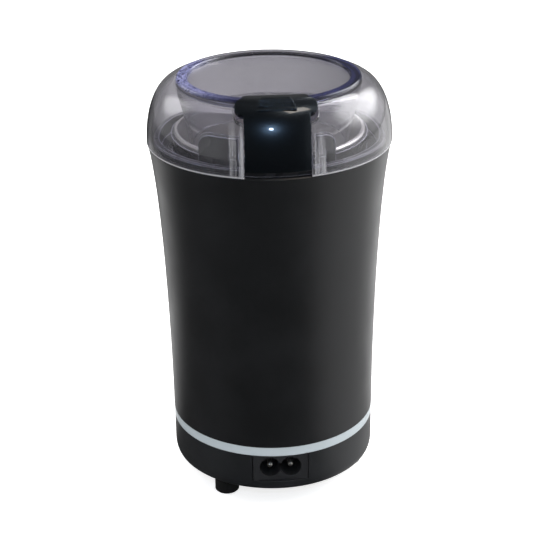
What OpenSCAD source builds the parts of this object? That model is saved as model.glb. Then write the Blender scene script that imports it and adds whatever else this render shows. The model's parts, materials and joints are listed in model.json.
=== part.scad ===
// Electric spice grinder: a flared housing with a motor, a steel bowl and blade,
// and a clear domed lid that holds the push button.
// Frame: millimetres, +Z up, origin in the middle of the plane the feet stand on.
// The front, with the mains inlet and the button, faces -Y.

/* [Body] */
// Height of the feet below the base
foot_h = 9; // [6:0.5:12]
// Height of the base below the accent ring
base_h = 16.5; // [16:0.1:20]
// Height of the accent ring
ring_band_h = 4; // [3:0.1:6]
// Height of the outer housing from the accent ring to the lid
housing_h = 120.5; // [116:0.5:140]
// Outer radius at the accent ring
waist_r = 43.2; // [42.8:0.1:45]
// Growth of the radius from the accent ring to the lid that the body's curve is drawn for
flare = 6.25; // [5.6:0.05:8]
// Share of that growth that the curve leaves to the lip, just under the lid
lip_share = 0.25; // [0.1:0.01:0.35]
// Wall of the outer housing and the base
wall = 2; // [1.6:0.1:2.2]
// Radius that the base edge rounds in by
base_edge = 1.6; // [0.8:0.1:2]
// Radius of one foot
foot_r = 5.15; // [4:0.05:6]
// Distance of the feet from the middle
foot_circle = 33.4; // [31:0.1:34]
// Angle of the first foot from the front
foot_angle = -41; // [-50:1:-35]
// Angle of the first base screw from the front
screw_angle = 35; // [30:1:40]
// Distance of the base screws from the middle
screw_circle = 33.5; // [33:0.1:34]

/* [Mains inlet] */
// Width of the inlet's flat face
inlet_w = 22.8; // [20:0.1:24]
// Distance of the inlet's face from the middle
inlet_face = 42; // [41.5:0.1:42.4]
// Depth of the socket recess
socket_depth = 11; // [9:0.1:12]
// Distance between the two pins
pin_pitch = 8.6; // [8:0.1:9]
// Radius of one pin
pin_r = 1.2; // [1:0.05:1.3]
// Radius of each round end of the socket
socket_r = 4.4; // [4:0.05:4.6]
// How far the pins stand back from the inlet's face
pin_setback = 1.2; // [1:0.1:2]

/* [Bowl and deck] */
// Inner radius of the bowl at its rim
bowl_r = 37.4; // [36:0.1:37.6]
// Depth of the bowl below its rim
bowl_depth = 42; // [38:0.5:44]
// How much narrower the bowl is at its floor
bowl_taper = 3; // [2:0.1:4]
// Radius of the bend between the bowl's wall and floor
bowl_bend = 7; // [5:0.5:9]
// Thickness of the bowl's steel
bowl_sheet = 0.6; // [0.5:0.05:0.8]
// How far the bowl's rim stands above the joint between housing and lid
rim_rise = 5; // [4.5:0.1:5.5]
// How far the deck lies below that joint
deck_drop = 3; // [2.5:0.1:4]
// Thickness of the deck and of the plate that carries the motor
deck_t = 2; // [1.6:0.1:2.6]
// Height of the switch tower's shoulders above the deck
tower_h = 16; // [14:0.1:16.5]
// Half angle that the switch tower spans
tower_half_angle = 38; // [30:1:40]

/* [Blade] */
// Reach of the blade from the shaft's axis
blade_reach = 28; // [24:0.5:30]
// Width of the blade at its middle
blade_w = 13; // [11:0.5:15]
// Thickness of the blade
blade_t = 1.4; // [1:0.1:2]
// Angle that the blade's tips are twisted by
blade_twist = 14; // [6:1:18]
// Across-flats size of the blade nut
nut_flats = 10; // [8:0.5:12]

/* [Motor] */
// Radius of the shaft
shaft_r = 4; // [3.6:0.1:4.2]
// Radius of the armature
armature_r = 16.8; // [15.5:0.1:17]
// Air gap between armature and stator
air_gap = 0.45; // [0.4:0.05:0.6]
// Length of the lamination stacks
stack_l = 24; // [20:0.5:26]
// Radius of the stator's round sides
stator_r = 27; // [26.6:0.1:27.4]
// Width of the stator across its flats
stator_flats = 46; // [44:0.5:48]
// Radius of the commutator
commutator_r = 10.4; // [9.5:0.1:11]
// Radius of the cooling fan
fan_r = 23; // [20:0.5:25]
// Number of fan blades
fan_blades = 10; // [7:1:12]

/* [Lid] */
// Outer radius of the lid at its rim
lid_r = 49.78; // [49.6:0.02:50.4]
// How far the lid's rim stands out past the lip of the housing
lid_step = 0.33; // [0.1:0.01:0.6]
// Height of the dome up to the foot of the raised ring
dome_h = 25.5; // [24.5:0.1:28]
// Wall of the lid
lid_wall = 2.2; // [1.8:0.1:2.4]
// Outer radius of the raised ring
ring_r = 37; // [36:0.1:38]
// Inner radius of the raised ring
ring_inner_r = 32.7; // [32:0.1:33.2]
// Height of the raised ring above the dome
ring_rise = 1; // [0.6:0.1:1.4]
// How far the top disc is sunk below the ring
disc_sink = 1.5; // [1.2:0.1:2]
// Outer radius of the inner skirt at its lower end
skirt_foot_r = 32.6; // [31:0.1:33]
// How far the inner skirt dips below the rim of the bowl
skirt_dip = 6; // [4:0.5:10]

/* [Button] */
// Width of the button's face
button_w = 25.2; // [22:0.1:26]
// Width of the button over its ears
ear_span = 31.4; // [29:0.1:31.6]
// Height of the button's lower edge above the lid's rim
button_lift = 2.5; // [2.3:0.1:3.5]
// Height of the button's crest above the raised ring
button_crest = 1.3; // [1:0.1:1.6]
// Travel of the button
button_travel = 2; // [1.2:0.1:2]
// Wall of the button
button_wall = 2.2; // [1.8:0.1:2.4]
// Number of grip ribs
grip_ribs = 5; // [3:1:6]

/* [Hidden] */

// Small amount by which a cut runs past the face it opens
cut = 1;
// Gap between round faces that slide or seat on each other
slip = 0.3;
// Gap between fixed round faces
seat = 0.1;
// Running gap of the shaft in its bushes
running = 0.05;
// Smoothness of round faces
smooth = 64;
// Smoothness of small round faces
fine = 32;
// Smoothness of wires and springs
thin = 16;
// How far a piece is sunk into the one it grows from
embed = 0.5;
// Gap between a screw's thread and the hole it cuts
thread_gap = 0.02;
// Steps in a quarter round
round_steps = 6;

// Levels, from the feet up
base_z = foot_h;
band_z = base_z + base_h;
housing_z = band_z + ring_band_h;
joint_z = housing_z + housing_h;
deck_z = joint_z - deck_drop;
rim_z = joint_z + rim_rise;
bowl_floor_z = rim_z - bowl_depth;
gasket_t = 2.4;
carrier_z = bowl_floor_z - bowl_sheet - gasket_t;
carrier_t = 3;
plate_z = carrier_z - carrier_t;
ring_top_z = joint_z + dome_h + ring_rise;
disc_z = ring_top_z - disc_sink;
disc_t = 2;
crest_z = ring_top_z + button_crest;

// Turns a piece to an angle measured from the front, positive towards +X
module at_angle(angle) {
    rotate([0, 0, angle])
        children();
}

// Copies a piece three times round the axis, starting at an angle from the front
module thrice(start) {
    for (turn = [0 : 2])
        at_angle(start + 120 * turn)
            children();
}

// Ring between two radii and two heights
module ring(outer_r, inner_r, low_z, high_z) {
    translate([0, 0, low_z])
        difference() {
            cylinder(h = high_z - low_z, r = outer_r, $fn = smooth);
            translate([0, 0, -cut])
                cylinder(h = high_z - low_z + 2 * cut, r = inner_r, $fn = smooth);
        }
}

// Upright round bar
module bar(radius, low_z, high_z) {
    translate([0, 0, low_z])
        cylinder(h = high_z - low_z, r = radius, $fn = fine);
}

// Upright round bar with a domed top, as one turned section
module domed_bar(radius, low_z, high_z) {
    rotate_extrude($fn = fine)
        polygon(concat(
            [[0, low_z], [radius, low_z]],
            [for (i = [0 : round_steps - 1])
                let (t = 90 * i / round_steps)
                [radius * cos(t), high_z - radius * (1 - sin(t))]],
            [[0, high_z]]
        ));
}

// Block given by two opposite corners
module block(low, high) {
    translate(low)
        cube(high - low);
}

// Thickness of the posts that link a spring's turns, as a share of its wire
link_share = 0.8;

// Coil spring of flat turns with open ends, as a stack of linked rings
module spring(mean_r, wire_r, low_z, high_z, turns) {
    pitch = (high_z - low_z - 2 * wire_r) / turns;
    for (turn = [0 : turns])
        translate([0, 0, low_z + wire_r + pitch * turn])
            rotate_extrude($fn = fine)
                translate([mean_r, 0])
                    circle(r = wire_r, $fn = thin);
    for (turn = [0 : turns - 1])
        rotate([0, 0, 180 * (turn % 2)])
            translate([mean_r, 0, low_z + wire_r + pitch * turn])
                cylinder(h = pitch, r = wire_r * link_share, $fn = thin);
}

// Thickness of a wire's bends, as a share of the wire
bend_share = 1.04;

// Insulated wire through a list of points, with round bends
module wire(points, radius) {
    for (i = [0 : len(points) - 2]) {
        run = points[i + 1] - points[i];
        length = norm(run);
        translate(points[i])
            rotate([0, acos(run[2] / length), atan2(run[1], run[0])])
                cylinder(h = length, r = radius, $fn = thin);
    }
    for (i = [1 : len(points) - 2])
        translate(points[i])
            sphere(r = radius * bend_share, $fn = thin);
}

// ---- Housing and base ----

// Outer radius of the housing at a height: an even curve, and a lip that meets the lid
function housing_r(z) =
    let (u = (z - housing_z) / housing_h, curve = flare * (1 - lip_share))
    waist_r + curve * pow(u, 2) + (lid_r - lid_step - waist_r - curve) * pow(u, 8);

housing_steps = 24;
lip_chamfer = 0.5;

// Side of the housing, moved in by a distance
function housing_side(inset) = [
    for (i = [0 : housing_steps])
        let (z = housing_z + housing_h * i / housing_steps)
        [housing_r(z) - inset, z]
];

rib_count = 6;
rib_angle = 30;
rib_t = 2;
rib_reach = 3;
rib_l = 26;

module outer_housing() {
    outer = housing_side(0);
    inner = housing_side(wall);
    middle = housing_side(wall / 2);
    flange_seat_z = deck_z - deck_t;
    lip_r = outer[housing_steps][0];
    color("#1e1f21") {
        rotate_extrude($fn = smooth)
            polygon(concat(
                [for (i = [0 : housing_steps - 1]) outer[i]],
                [[lip_r, joint_z - lip_chamfer], [lip_r - lip_chamfer, joint_z]],
                reversed(inner)
            ));
        intersection() {
            rotate_extrude($fn = smooth)
                polygon(concat([[0, housing_z]], middle, [[0, joint_z]]));
            for (i = [0 : rib_count - 1])
                at_angle(rib_angle + 360 / rib_count * i)
                    block([-rib_t / 2, -lid_r, flange_seat_z - rib_l],
                          [rib_t / 2, -deck_r + rib_reach, flange_seat_z]);
        }
    }
}

// Tongue of the accent ring that centres the housing and the base on it
tongue_h = 2;
tongue_t = 1.8;
tongue_r = waist_r - wall - slip;

module accent_ring() {
    color("#b9c3c8")
        difference() {
            rotate_extrude($fn = smooth)
                polygon([
                    [tongue_r - tongue_t, band_z - tongue_h],
                    [tongue_r, band_z - tongue_h],
                    [tongue_r, band_z],
                    [waist_r - seat, band_z],
                    [waist_r - seat, housing_z],
                    [tongue_r, housing_z],
                    [tongue_r, housing_z + tongue_h],
                    [tongue_r - tongue_t, housing_z + tongue_h]
                ]);
            block([-inlet_w / 2 - inlet_flange - slip, -waist_r, band_z - tongue_h - cut],
                  [inlet_w / 2 + inlet_flange + slip, 0, band_z]);
        }
}

base_plate_t = 2.5;
base_edge_h = 4;
well_r = 4.8;
well_wall = 1.2;
well_cap = 2.5;
well_top_z = housing_z + tongue_h;
vent_pitch = 5.2;
vent_w = 2.4;
vent_rows = 4;
vent_field_r = 25;
vent_bridge = 2.4;
vent_margin = 0.8;
pad_inset = 2;
pad_gap = 3;

// Outside of the base, rounded in at its lower edge
base_arc = [
    for (i = [0 : round_steps])
        let (t = 90 * i / round_steps)
        [waist_r - seat - base_edge * (1 - sin(t)), base_z + base_edge_h * (1 - cos(t))]
];

module base_cover() {
    top_r = waist_r - seat;
    inner_r = top_r - wall - slip / 2;
    color("#1e1f21")
        difference() {
            union() {
                rotate_extrude($fn = smooth)
                    polygon(concat(
                        [[0, base_z]],
                        base_arc,
                        [[top_r, band_z], [inner_r, band_z]],
                        [[inner_r, base_z + base_plate_t], [0, base_z + base_plate_t]]
                    ));
                // Wells that take the base screws
                thrice(screw_angle)
                    translate([0, -screw_circle, 0])
                        bar(well_r, base_z + base_plate_t / 2, well_top_z);
                // Pad that the inlet stands on
                block([-inlet_w / 2 + pad_inset, -inner_r + pad_gap, base_z + base_plate_t / 2],
                      [inlet_w / 2 - pad_inset, -inlet_back, inlet_z]);
            }
            thrice(screw_angle)
                translate([0, -screw_circle, 0]) {
                    bar(well_r - well_wall, base_z - cut, well_top_z - well_cap);
                    bar(screw_r + slip, base_z, well_top_z + cut);
                }
            thrice(foot_angle)
                translate([0, -foot_circle, 0])
                    bar(foot_stem_r + seat, base_z - cut, base_z + base_plate_t + cut);
            // Flat that the inlet lies in, open to the accent ring
            block([-inlet_w / 2 - slip, -waist_r - cut, inlet_z - seat],
                  [inlet_w / 2 + slip, -inner_r + pad_gap, band_z + cut]);
            block([-inlet_w / 2 - inlet_flange - slip, -inlet_face + flange_set - slip, inlet_z - seat],
                  [inlet_w / 2 + inlet_flange + slip, -inner_r + pad_gap, band_z + cut]);
            // Air vents in the floor
            for (row = [-vent_rows : vent_rows])
                let (half = sqrt(pow(vent_field_r, 2) - pow(row * vent_pitch, 2)))
                for (side = [-1, 1])
                    translate([side * (half + vent_bridge - vent_margin) / 2,
                               row * vent_pitch,
                               base_z + base_plate_t / 2])
                        cube([half - vent_bridge - vent_margin, vent_w, base_plate_t + 2 * cut],
                             center = true);
        }
}

foot_stem_r = 2.5;
foot_head_r = 3.4;
foot_head_t = 1.4;
foot_tip_r = 1.9;
foot_chamfer = 0.5;

module rubber_feet() {
    hub_z = base_z + base_plate_t;
    color("#161616")
        thrice(foot_angle)
            translate([0, -foot_circle, 0])
                rotate_extrude($fn = fine)
                    polygon([
                        [0, 0],
                        [foot_r - foot_chamfer, 0],
                        [foot_r, foot_chamfer],
                        [foot_r, base_z],
                        [foot_stem_r, base_z],
                        [foot_stem_r, hub_z],
                        [foot_head_r, hub_z],
                        [foot_tip_r, hub_z + foot_head_t],
                        [0, hub_z + foot_head_t]
                    ]);
}

screw_r = 1.5;
screw_head_r = 2.9;
screw_head_t = 2;
screw_l = 16;
head_taper = 0.8;
driver_span = 1.1;
driver_w = 0.6;

// Pan-head screw, its head's seat at z = 0 and its shank up
module pan_screw(shank_r, head_r, head_t, length) {
    difference() {
        union() {
            cylinder(h = length, r = shank_r, $fn = fine);
            translate([0, 0, -head_t])
                cylinder(h = head_t, r1 = head_r * head_taper, r2 = head_r, $fn = fine);
        }
        for (turn = [0, 90])
            rotate([0, 0, turn])
                translate([0, 0, -head_t])
                    cube([head_r * driver_span, driver_w, head_t], center = true);
    }
}

module base_screws() {
    color("silver")
        thrice(screw_angle)
            translate([0, -screw_circle, well_top_z - well_cap])
                pan_screw(screw_r, screw_head_r, screw_head_t, screw_l);
}

// ---- Mains inlet ----

inlet_z = base_z + 4.4;
inlet_flange = 1.6;
flange_set = 2.6;
flange_t = 2;
inlet_floor_t = 4;
inlet_back = inlet_face - socket_depth - inlet_floor_t;
socket_lift = 0.25;
inlet_mid_z = (inlet_z + band_z) / 2 + socket_lift;
socket_waist_w = pin_pitch * 0.6;
socket_waist_h = 3.1;

// Figure-eight opening of the socket, lying in the XY plane
module socket_outline() {
    for (side = [-1, 1])
        translate([side * pin_pitch / 2, 0])
            circle(r = socket_r, $fn = smooth);
    square([socket_waist_w, socket_waist_h], center = true);
}

module inlet_housing() {
    color("#17181a")
        difference() {
            union() {
                block([-inlet_w / 2, -inlet_face, inlet_z],
                      [inlet_w / 2, -inlet_back, band_z]);
                block([-inlet_w / 2 - inlet_flange, -inlet_face + flange_set, inlet_z],
                      [inlet_w / 2 + inlet_flange, -inlet_face + flange_set + flange_t, band_z]);
            }
            translate([0, -inlet_face - cut, inlet_mid_z])
                rotate([-90, 0, 0])
                    linear_extrude(socket_depth + cut)
                        socket_outline();
            for (side = [-1, 1])
                translate([side * pin_pitch / 2, -inlet_back + cut, inlet_mid_z])
                    rotate([90, 0, 0])
                        cylinder(h = inlet_floor_t + 2 * cut, r = pin_root_r + running, $fn = fine);
        }
}

pin_root_r = pin_r + 0.3;
pin_collar_r = 2.4;
pin_collar_t = 1;
tab_l = 6;
tab_w = 4.8;
tab_t = 0.8;
tab_tip_y = -inlet_back + pin_collar_t + tab_l;

module inlet_pins() {
    tip_y = -inlet_face + pin_setback;
    color("#d8d8d8")
        for (side = [-1, 1])
            translate([side * pin_pitch / 2, 0, inlet_mid_z]) {
                rotate([90, 0, 0]) {
                    domed_bar(pin_r, inlet_back + embed, -tip_y);
                    bar(pin_root_r, inlet_back - embed, inlet_back + inlet_floor_t);
                    bar(pin_collar_r, inlet_back - pin_collar_t, inlet_back);
                }
                block([-tab_t / 2, -inlet_back + pin_collar_t - embed, -tab_w / 2],
                      [tab_t / 2, tab_tip_y, tab_w / 2]);
            }
}

// ---- Bowl, its holder and the seal ----

bowl_floor_r = bowl_r - bowl_taper;
bowl_hole_r = 8;
rim_roll = 0.9;
rim_roll_h = 1.5;
rim_bulge = 0.4;

// Inner radius of the bowl's straight wall at a height
function bowl_wall_r(z) =
    bowl_floor_r + bowl_taper * (z - bowl_floor_z) / bowl_depth;

// Inside of the bowl from the hole to the rim, moved out by a distance
function bowl_line(out) = concat(
    [[bowl_hole_r, bowl_floor_z - out]],
    [for (i = [0 : round_steps])
        let (t = 90 * i / round_steps)
        [bowl_wall_r(bowl_floor_z + bowl_bend) - bowl_bend + (bowl_bend + out) * sin(t),
         bowl_floor_z + bowl_bend - (bowl_bend + out) * cos(t)]],
    [[bowl_r + out, rim_z]]
);

function reversed(list) = [for (i = [len(list) - 1 : -1 : 0]) list[i]];

module bowl() {
    color("#c9cbcd")
        rotate_extrude($fn = smooth)
            polygon(concat(
                bowl_line(0),
                [[bowl_r + rim_roll, rim_z],
                 [bowl_r + rim_roll + rim_bulge, rim_z - rim_roll_h / 2],
                 [bowl_r + rim_roll, rim_z - rim_roll_h],
                 [bowl_r + bowl_sheet, rim_z - rim_roll_h]],
                [for (i = [round_steps + 1 : -1 : 0]) bowl_line(bowl_sheet)[i]]
            ));
}

gasket_inner_r = 22.2;
gasket_outer_r = 27.4;

module bowl_gasket() {
    color("#9a9a98")
        ring(gasket_outer_r, gasket_inner_r, carrier_z, bowl_floor_z - bowl_sheet);
}

seal_flange_r = 11.5;
seal_lip_h = 2;
seal_relief = 1.6;
seal_lip_t = 1.2;
seal_relief_top_z = bowl_floor_z - 0.4;

module shaft_seal() {
    color("#2b2b2d")
        rotate_extrude($fn = smooth)
            polygon([
                [shaft_r + seal_relief, carrier_z],
                [seal_flange_r, carrier_z],
                [seal_flange_r, bowl_floor_z - bowl_sheet],
                [bowl_hole_r - seat, bowl_floor_z - bowl_sheet],
                [bowl_hole_r - seat, bowl_floor_z],
                [shaft_r + seal_relief, bowl_floor_z + seal_lip_h],
                [shaft_r + running, bowl_floor_z + seal_lip_h],
                [shaft_r + running, bowl_floor_z + seal_lip_h - seal_lip_t],
                [shaft_r + seal_relief, seal_relief_top_z]
            ]);
}

// Sizes of the holder: a cup round the bowl with a deck at the top
cup_gap = 0.3;
cup_wall = 1.6;
cup_r = bowl_r + bowl_sheet + cup_gap;
deck_r = housing_r(deck_z - deck_t) - wall - slip;
spigot_t = 1.6;
spigot_h = 3;
spigot_gap = 0.5;
spigot_step = 1;
spigot_chamfer = 0.5;
spigot_r = lid_r - lid_wall - spigot_gap;
rod_r = 1.5;
rod_bore_r = rod_r + slip;
rod_wall = 0.7;
rod_y = cup_r + rod_wall + rod_bore_r;
post_r = 4;
tower_t = 2.2;
tower_low_h = 7.4;
tower_low_half = 13.5;
tower_round = 5;
tower_shift = 3.2;
tower_foot = 3.2;
tower_boss_half = 4.4;
tower_boss_y = rod_y + 3;
guide_l = 7;
guide_wall = 1.4;
guide_half = 3.4;
guide_front = 0.4;
guide_slot = 4;
cup_hole_r = bowl_hole_r + 1;
switch_tab_t = 2;
switch_tab_l = 17;

// Outline of the switch tower seen from the front, with more of it on the switch's side
module tower_outline() {
    half = (cup_r + cup_wall + tower_t) * sin(tower_half_angle);
    difference() {
        translate([-tower_shift, 0]) {
            translate([-half, deck_z - deck_t])
                square([2 * half, tower_h - tower_round + deck_t]);
            translate([-half + tower_round, deck_z - deck_t])
                square([2 * (half - tower_round), tower_h + deck_t]);
            for (side = [-1, 1]) {
                translate([side * (half - tower_round), deck_z + tower_h - tower_round])
                    circle(r = tower_round, $fn = fine);
                // Fillet at the foot
                difference() {
                    translate([side * half - tower_foot, deck_z - deck_t])
                        square([2 * tower_foot, deck_t + tower_foot]);
                    translate([side * (half + tower_foot), deck_z + tower_foot])
                        circle(r = tower_foot, $fn = fine);
                }
            }
        }
        translate([-tower_low_half, deck_z + tower_low_h])
            square([2 * tower_low_half, tower_h]);
    }
}

// Cup round the bowl, from the rim down to the plate over the motor
module holder_cup() {
    outer_floor_r = bowl_floor_r + bowl_sheet + cup_gap + cup_wall;
    inner = [
        for (i = [0 : round_steps])
            let (t = 90 * i / round_steps)
            [bowl_wall_r(bowl_floor_z + bowl_bend) - bowl_bend
                + (bowl_bend + bowl_sheet + cup_gap) * sin(t),
             max(carrier_z, bowl_floor_z + bowl_bend
                - (bowl_bend + bowl_sheet + gasket_t) * cos(t))]
    ];
    rotate_extrude($fn = smooth)
        polygon(concat(
            [[cup_hole_r, plate_z], [outer_floor_r, plate_z]],
            [[cup_r + cup_wall, rim_z - rim_roll_h], [cup_r, rim_z - rim_roll_h]],
            reversed(inner),
            [[cup_hole_r, carrier_z]]
        ));
}

module bowl_holder() {
    tower_in_r = cup_r + cup_wall / 2;
    tower_out_r = cup_r + cup_wall + tower_t;
    color("#202124")
        difference() {
            union() {
                holder_cup();
                // Deck and the spigot that centres the lid
                ring(deck_r, cup_r + cup_wall / 2, deck_z - deck_t, deck_z);
                rotate_extrude($fn = smooth)
                    polygon([
                        [deck_r - spigot_t, deck_z - deck_t / 2],
                        [deck_r, deck_z - deck_t / 2],
                        [deck_r, joint_z - spigot_step],
                        [spigot_r, joint_z],
                        [spigot_r, joint_z + spigot_h - spigot_chamfer],
                        [spigot_r - spigot_chamfer, joint_z + spigot_h],
                        [deck_r - spigot_t, joint_z + spigot_h]
                    ]);
                // Switch tower behind the button
                intersection() {
                    ring(tower_out_r, tower_in_r, deck_z - deck_t, deck_z + tower_h + cut);
                    rotate([90, 0, 0])
                        linear_extrude(lid_r)
                            tower_outline();
                }
                block([-tower_boss_half, -tower_boss_y, deck_z - deck_t],
                      [tower_boss_half, -tower_in_r, deck_z + tower_low_h]);
                translate([0, -rod_y, 0])
                    bar(rod_bore_r + guide_wall, deck_z - deck_t - guide_l, deck_z);
                // Lower guide of the push rod
                block([-guide_half, -rod_y - guide_front, plate_z],
                      [guide_half, -bowl_floor_r, plate_z + rod_seat_h]);
                // Posts that the base screws hold
                thrice(screw_angle)
                    translate([0, -screw_circle, 0])
                        bar(post_r, well_top_z, plate_z + embed);
                // Tab that the switch is screwed to
                block([-switch_w / 2, -switch_back_y, plate_z - switch_tab_l],
                      [switch_w / 2, -switch_back_y + switch_tab_t, plate_z + embed]);
            }
            translate([0, -rod_y, 0])
                bar(rod_bore_r, plate_z - cut, deck_z + tower_h + cut);
            block([-rod_bore_r, -rod_y - guide_slot, plate_z - cut],
                  [rod_bore_r, -rod_y, plate_z + rod_seat_h + cut]);
            thrice(screw_angle)
                translate([0, -screw_circle, 0])
                    bar(screw_r + thread_gap, well_top_z - cut, well_top_z + screw_l);
            for (side = [-1, 1]) {
                translate([side * motor_screw_x, 0, 0]) {
                    bar(grommet_neck_r + seat, plate_z - cut, carrier_z + cut);
                    bar(grommet_r + seat, carrier_z - grommet_lip, carrier_z + cut);
                }
                translate([side * switch_screw_x, -switch_back_y - cut, switch_screw_z])
                    rotate([-90, 0, 0])
                        cylinder(h = switch_tab_t + 2 * cut, r = switch_screw_r + thread_gap, $fn = fine);
            }
        }
}

// ---- Blade ----

hub_r = 7;
hub_gap = 0.6;
hub_z = bowl_floor_z + seal_lip_h + hub_gap;
hub_t = 3.4;
hub_chamfer = 0.6;
hub_top_chamfer = 0.8;
blade_z = hub_z + hub_t;
journal_r = 3;
blade_flat = 8;
shoulder_share = 0.8;
heel_share = 0.7;
shoulder_in = 1.5;
heel_in = 1;
edge_w = 3;
edge_angle = -20;
edge_land = 0.1;

// One wing of the blade, lying along +X and narrowing to its tip
module blade_wing() {
    intersection() {
        translate([0, 0, blade_z])
            linear_extrude(blade_w, center = true)
                polygon([
                    [0, -blade_w / 2],
                    [blade_flat, -blade_w / 2],
                    [blade_reach * shoulder_share, -blade_w / 2 + shoulder_in],
                    [blade_reach, -blade_w / 4],
                    [blade_reach - shoulder_in, blade_w / 3],
                    [blade_reach * heel_share, blade_w / 2 - heel_in],
                    [blade_flat, blade_w / 2],
                    [0, blade_w / 2]
                ]);
        union() {
            block([0, -blade_w, blade_z], [blade_flat + embed, blade_w, blade_z + blade_t]);
            translate([blade_flat, 0, blade_z + blade_t / 2])
                rotate([blade_twist, 0, 0])
                    difference() {
                        block([0, -blade_w, -blade_t / 2], [blade_reach, blade_w, blade_t / 2]);
                        // Ground edge along the leading side
                        translate([0, blade_w / 2 - edge_w, 0])
                            rotate([edge_angle, 0, 0])
                                block([-cut, 0, edge_land], [blade_reach + cut, blade_w, blade_w]);
                    }
        }
    }
}

module blade() {
    color("#b4b7ba")
        difference() {
            for (turn = [0, 180])
                rotate([0, 0, turn])
                    blade_wing();
            bar(journal_r + running, blade_z - cut, blade_z + blade_t + cut);
        }
}

module blade_hub() {
    color("#3a3b3d")
        rotate_extrude($fn = smooth)
            polygon([
                [journal_r + running, hub_z],
                [hub_r - hub_chamfer, hub_z],
                [hub_r, hub_z + hub_chamfer],
                [hub_r, blade_z - hub_top_chamfer],
                [hub_r - hub_top_chamfer, blade_z],
                [journal_r + running, blade_z]
            ]);
}

nut_h = 3.6;
nut_round_r = 1.6;
nut_round_h = 1.4;
nut_top_in = 0.2;

module blade_nut() {
    color("silver")
        difference() {
            intersection() {
                translate([0, 0, blade_z + blade_t])
                    cylinder(h = nut_h, r = nut_flats / sqrt(3), $fn = 6);
                translate([0, 0, blade_z + blade_t - cut])
                    rotate_extrude($fn = smooth)
                        polygon([
                            [0, 0],
                            [nut_flats, 0],
                            [nut_flats / 2 + nut_round_r, nut_h + cut - nut_round_h],
                            [nut_flats / 2 - nut_top_in, nut_h + cut],
                            [0, nut_h + cut]
                        ]);
            }
            bar(journal_r + running, blade_z, blade_z + nut_h * 2);
        }
}

// ---- Motor ----

bracket_t = 3;
grommet_h = 4;
grommet_r = 4.6;
grommet_neck_r = 3.4;
grommet_lip = 1.2;
motor_screw_x = 16;
motor_screw_r = 1.7;
upper_bracket_z = plate_z - grommet_h - bracket_t;
coil_rise = 8;
coil_air = 2.4;
brush_room = 12;
stack_top_z = upper_bracket_z - coil_rise - coil_air;
stack_z = stack_top_z - stack_l;
lower_bracket_z = stack_z - coil_rise - brush_room - bracket_t;
fan_h = 7;
fan_air = 5;
fan_z = lower_bracket_z - fan_h - fan_air;
bush_r = 7;
bush_h = 6;
leg_t = 4;
leg_w = 12;
bolt_r = 1.5;
bolt_inset = 3;
bolt_x = stator_r - bolt_inset;
bolt_head_r = 2.7;
bolt_head_t = 2;
boss_wall = 3;
boss_rise = 3;
leg_overlap = 1;
commutator_h = 9;
commutator_lift = 1.5;
commutator_z = lower_bracket_z + bracket_t + commutator_lift;
shaft_proud = 0.8;
shaft_tail = 2;
shaft_top_z = blade_z + blade_t + nut_h + shaft_proud;
shaft_low_z = fan_z - shaft_tail;
knurl = 0.06;

module motor_shaft() {
    color("#8d8f92")
        union() {
            bar(shaft_r, shaft_low_z, hub_z);
            bar(journal_r, hub_z - cut, shaft_top_z);
            // Raised bands that the pressed-on pieces grip
            for (band = [[fan_z + 2, fan_z + fan_h - 2],
                         [commutator_z + 2, commutator_z + commutator_h - 2],
                         [stack_z + 2, stack_top_z - 2]])
                bar(shaft_r + running + knurl, band[0], band[1]);
        }
}

slot_count = 12;
slot_depth = 6;
tooth_gap = 1.6;
winding_inset = 1.6;

module armature_core() {
    color("#6e6a66")
        difference() {
            ring(armature_r, shaft_r + running, stack_z, stack_top_z);
            for (i = [0 : slot_count - 1])
                rotate([0, 0, 360 / slot_count * i]) {
                    block([armature_r - slot_depth, -tooth_gap / 2, stack_z - cut],
                          [armature_r + cut, tooth_gap / 2, stack_top_z + cut]);
                    translate([armature_r - slot_depth, 0, 0])
                        bar(tooth_gap, stack_z - cut, stack_top_z + cut);
                }
        }
}

winding_gap = 1;
winding_h = 6.5;
winding_step_h = 3.5;
winding_step = 3;
slot_fill = 0.3;

module armature_windings() {
    end_r = armature_r - winding_inset;
    color("#a5562b") {
        for (end = [0, 1])
            rotate_extrude($fn = smooth)
                polygon([
                    [shaft_r + winding_gap, end == 0 ? stack_z : stack_top_z],
                    [end_r, end == 0 ? stack_z : stack_top_z],
                    [end_r, end == 0 ? stack_z - winding_step_h : stack_top_z + winding_step_h],
                    [end_r - winding_step, end == 0 ? stack_z - winding_h : stack_top_z + winding_h],
                    [shaft_r + winding_gap, end == 0 ? stack_z - winding_h : stack_top_z + winding_h]
                ]);
        for (i = [0 : slot_count - 1])
            rotate([0, 0, 360 / slot_count * i])
                translate([armature_r - slot_depth, 0, 0])
                    bar(tooth_gap - slot_fill, stack_z - cut, stack_top_z + cut);
    }
}

bar_count = 12;
riser_h = 2;
riser_rise = 1.2;
bar_gap = 0.5;
bar_groove = 1.4;

module commutator() {
    color("#b87333")
        difference() {
            union() {
                ring(commutator_r, shaft_r + running, commutator_z, commutator_z + commutator_h);
                ring(commutator_r + riser_rise, shaft_r + running,
                     commutator_z + commutator_h, commutator_z + commutator_h + riser_h);
            }
            for (i = [0 : bar_count - 1])
                rotate([0, 0, 360 / bar_count * i])
                    block([commutator_r - bar_groove, -bar_gap / 2, commutator_z - cut],
                          [commutator_r + riser_rise + cut, bar_gap / 2,
                           commutator_z + commutator_h + riser_h + cut]);
        }
}

fan_hub_r = 6.5;
fan_disc_t = 1.4;
fan_blade_t = 1.3;
blade_root = 1.5;
blade_lift = 0.4;

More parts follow.
